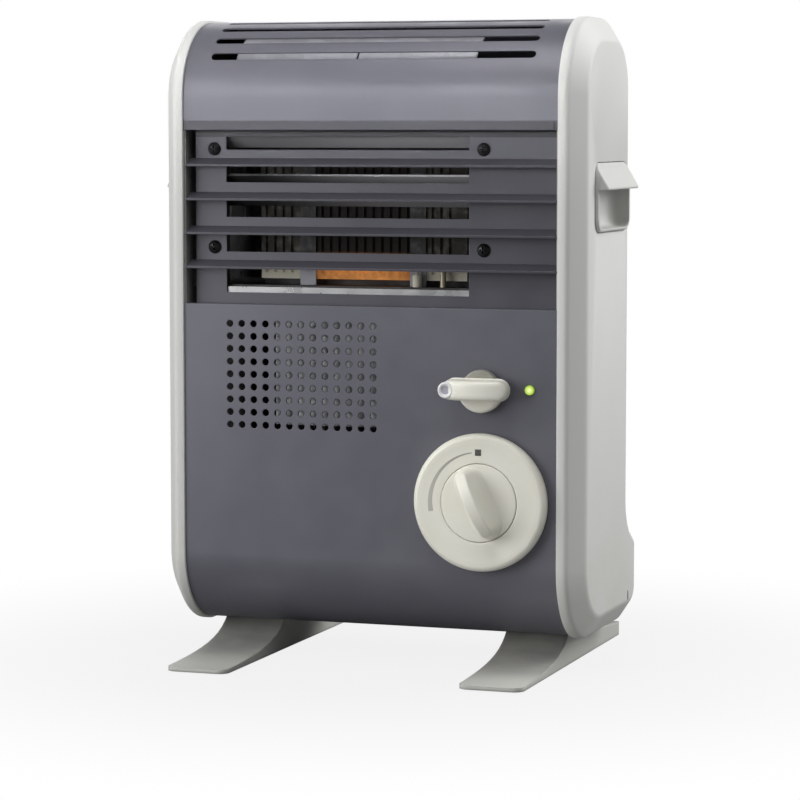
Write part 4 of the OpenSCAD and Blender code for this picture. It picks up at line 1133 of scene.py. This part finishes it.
def stage_floor():
    """A pale floor that keeps a soft shadow near the heater and fades to plain white."""
    size = 6.0
    grey = 0.26
    fade_start, fade_end = 0.12, 0.5
    white_near = 0.86
    mesh = bpy.data.meshes.new("floor")
    mesh.from_pydata([(-size, -size, 0), (size, -size, 0), (size, size, 0), (-size, size, 0)], [],
                     [(0, 1, 2, 3)])
    obj = bpy.data.objects.new("floor", mesh)
    SCENE.collection.objects.link(obj)
    material = bpy.data.materials.new("floor")
    tree = bare_tree(material)
    plain = tree.nodes.new("ShaderNodeBsdfDiffuse")
    plain.inputs["Color"].default_value = (grey, grey, grey, 1)
    white = tree.nodes.new("ShaderNodeEmission")
    white.inputs["Strength"].default_value = 1.0
    geometry = tree.nodes.new("ShaderNodeNewGeometry")
    reach = tree.nodes.new("ShaderNodeVectorMath")
    reach.operation = "LENGTH"
    fade = tree.nodes.new("ShaderNodeMapRange")
    fade.interpolation_type = "SMOOTHSTEP"
    for socket, number in zip(RANGE_SOCKETS, (fade_start, fade_end, white_near, 1.0)):
        fade.inputs[socket].default_value = number
    tree.links.new(geometry.outputs["Position"], reach.inputs[0])
    tree.links.new(reach.outputs["Value"], fade.inputs["Value"])
    camera_mix(tree, "ShaderNodeOutputMaterial", plain, white, fade.outputs[0])
    obj.data.materials.append(material)


def white_room():
    """A world that the camera sees as plain white and that lights the heater only faintly."""
    world = bpy.data.worlds.new("studio")
    SCENE.world = world
    tree = bare_tree(world)
    fill = tree.nodes.new("ShaderNodeBackground")
    white = tree.nodes.new("ShaderNodeBackground")
    for background, strength in ((fill, 0.24), (white, 1.0)):
        background.inputs["Color"].default_value = (1, 1, 1, 1)
        background.inputs["Strength"].default_value = strength
    camera_mix(tree, "ShaderNodeOutputWorld", fill, white)


def aimed_lamp(name, light, location, target):
    """A lamp at a place, turned towards its target."""
    lamp = bpy.data.objects.new(name, light)
    SCENE.collection.objects.link(lamp)
    lamp.location = location
    lamp.rotation_euler = (target - lamp.location).to_track_quat("-Z", "Y").to_euler()


def studio():
    """Soft lamps to the right rear, the left front, above and behind, and a strip for the hood."""
    middle = Vector((0, 0, 0.2))
    # name, azimuth and elevation in degrees, distance, size, power
    lamps = [
        ("right_lamp", 125, 27, 1.25, 0.9, 12.2),
        ("left_lamp", -47, 13, 1.5, 1.0, 13.1),
        ("top_lamp", 5, 62, 1.0, 0.6, 3.6),
        ("back_lamp", 205, 30, 1.8, 1.0, 5.0),
    ]
    for name, azimuth, elevation, distance, size, power in lamps:
        light = bpy.data.lights.new(name, "AREA")
        light.shape = "SQUARE"
        light.size = size
        light.energy = power
        a = math.radians(azimuth)
        e = math.radians(elevation)
        away = Vector((math.sin(a) * math.cos(e), -math.cos(a) * math.cos(e), math.sin(e)))
        aimed_lamp(name, light, middle + distance * away, middle)
    strip = bpy.data.lights.new("hood_lamp", "AREA")
    strip.shape = "RECTANGLE"
    strip.size = 0.3
    strip.size_y = 0.05
    strip.spread = math.radians(13)
    strip.energy = 0.026
    aimed_lamp("hood_lamp", strip, (-0.12, -0.75, 0.47), Vector((0, -0.06, 0.385)))


def camera():
    """The photograph's view: from the right front, a little above the middle, with a long lens."""
    azimuth, down = 19, 5.09
    data = bpy.data.cameras.new("camera")
    data.sensor_width = 36
    data.lens = 138.5
    data.clip_start = 0.05
    obj = bpy.data.objects.new("camera", data)
    obj.location = (0.6735, -1.9586, 0.3572)
    obj.rotation_euler = (math.radians(90 - down), 0, math.radians(azimuth))
    SCENE.collection.objects.link(obj)
    SCENE.camera = obj


stage_floor()
white_room()
studio()
camera()
bpy.context.scene.view_settings.view_transform = "Standard"
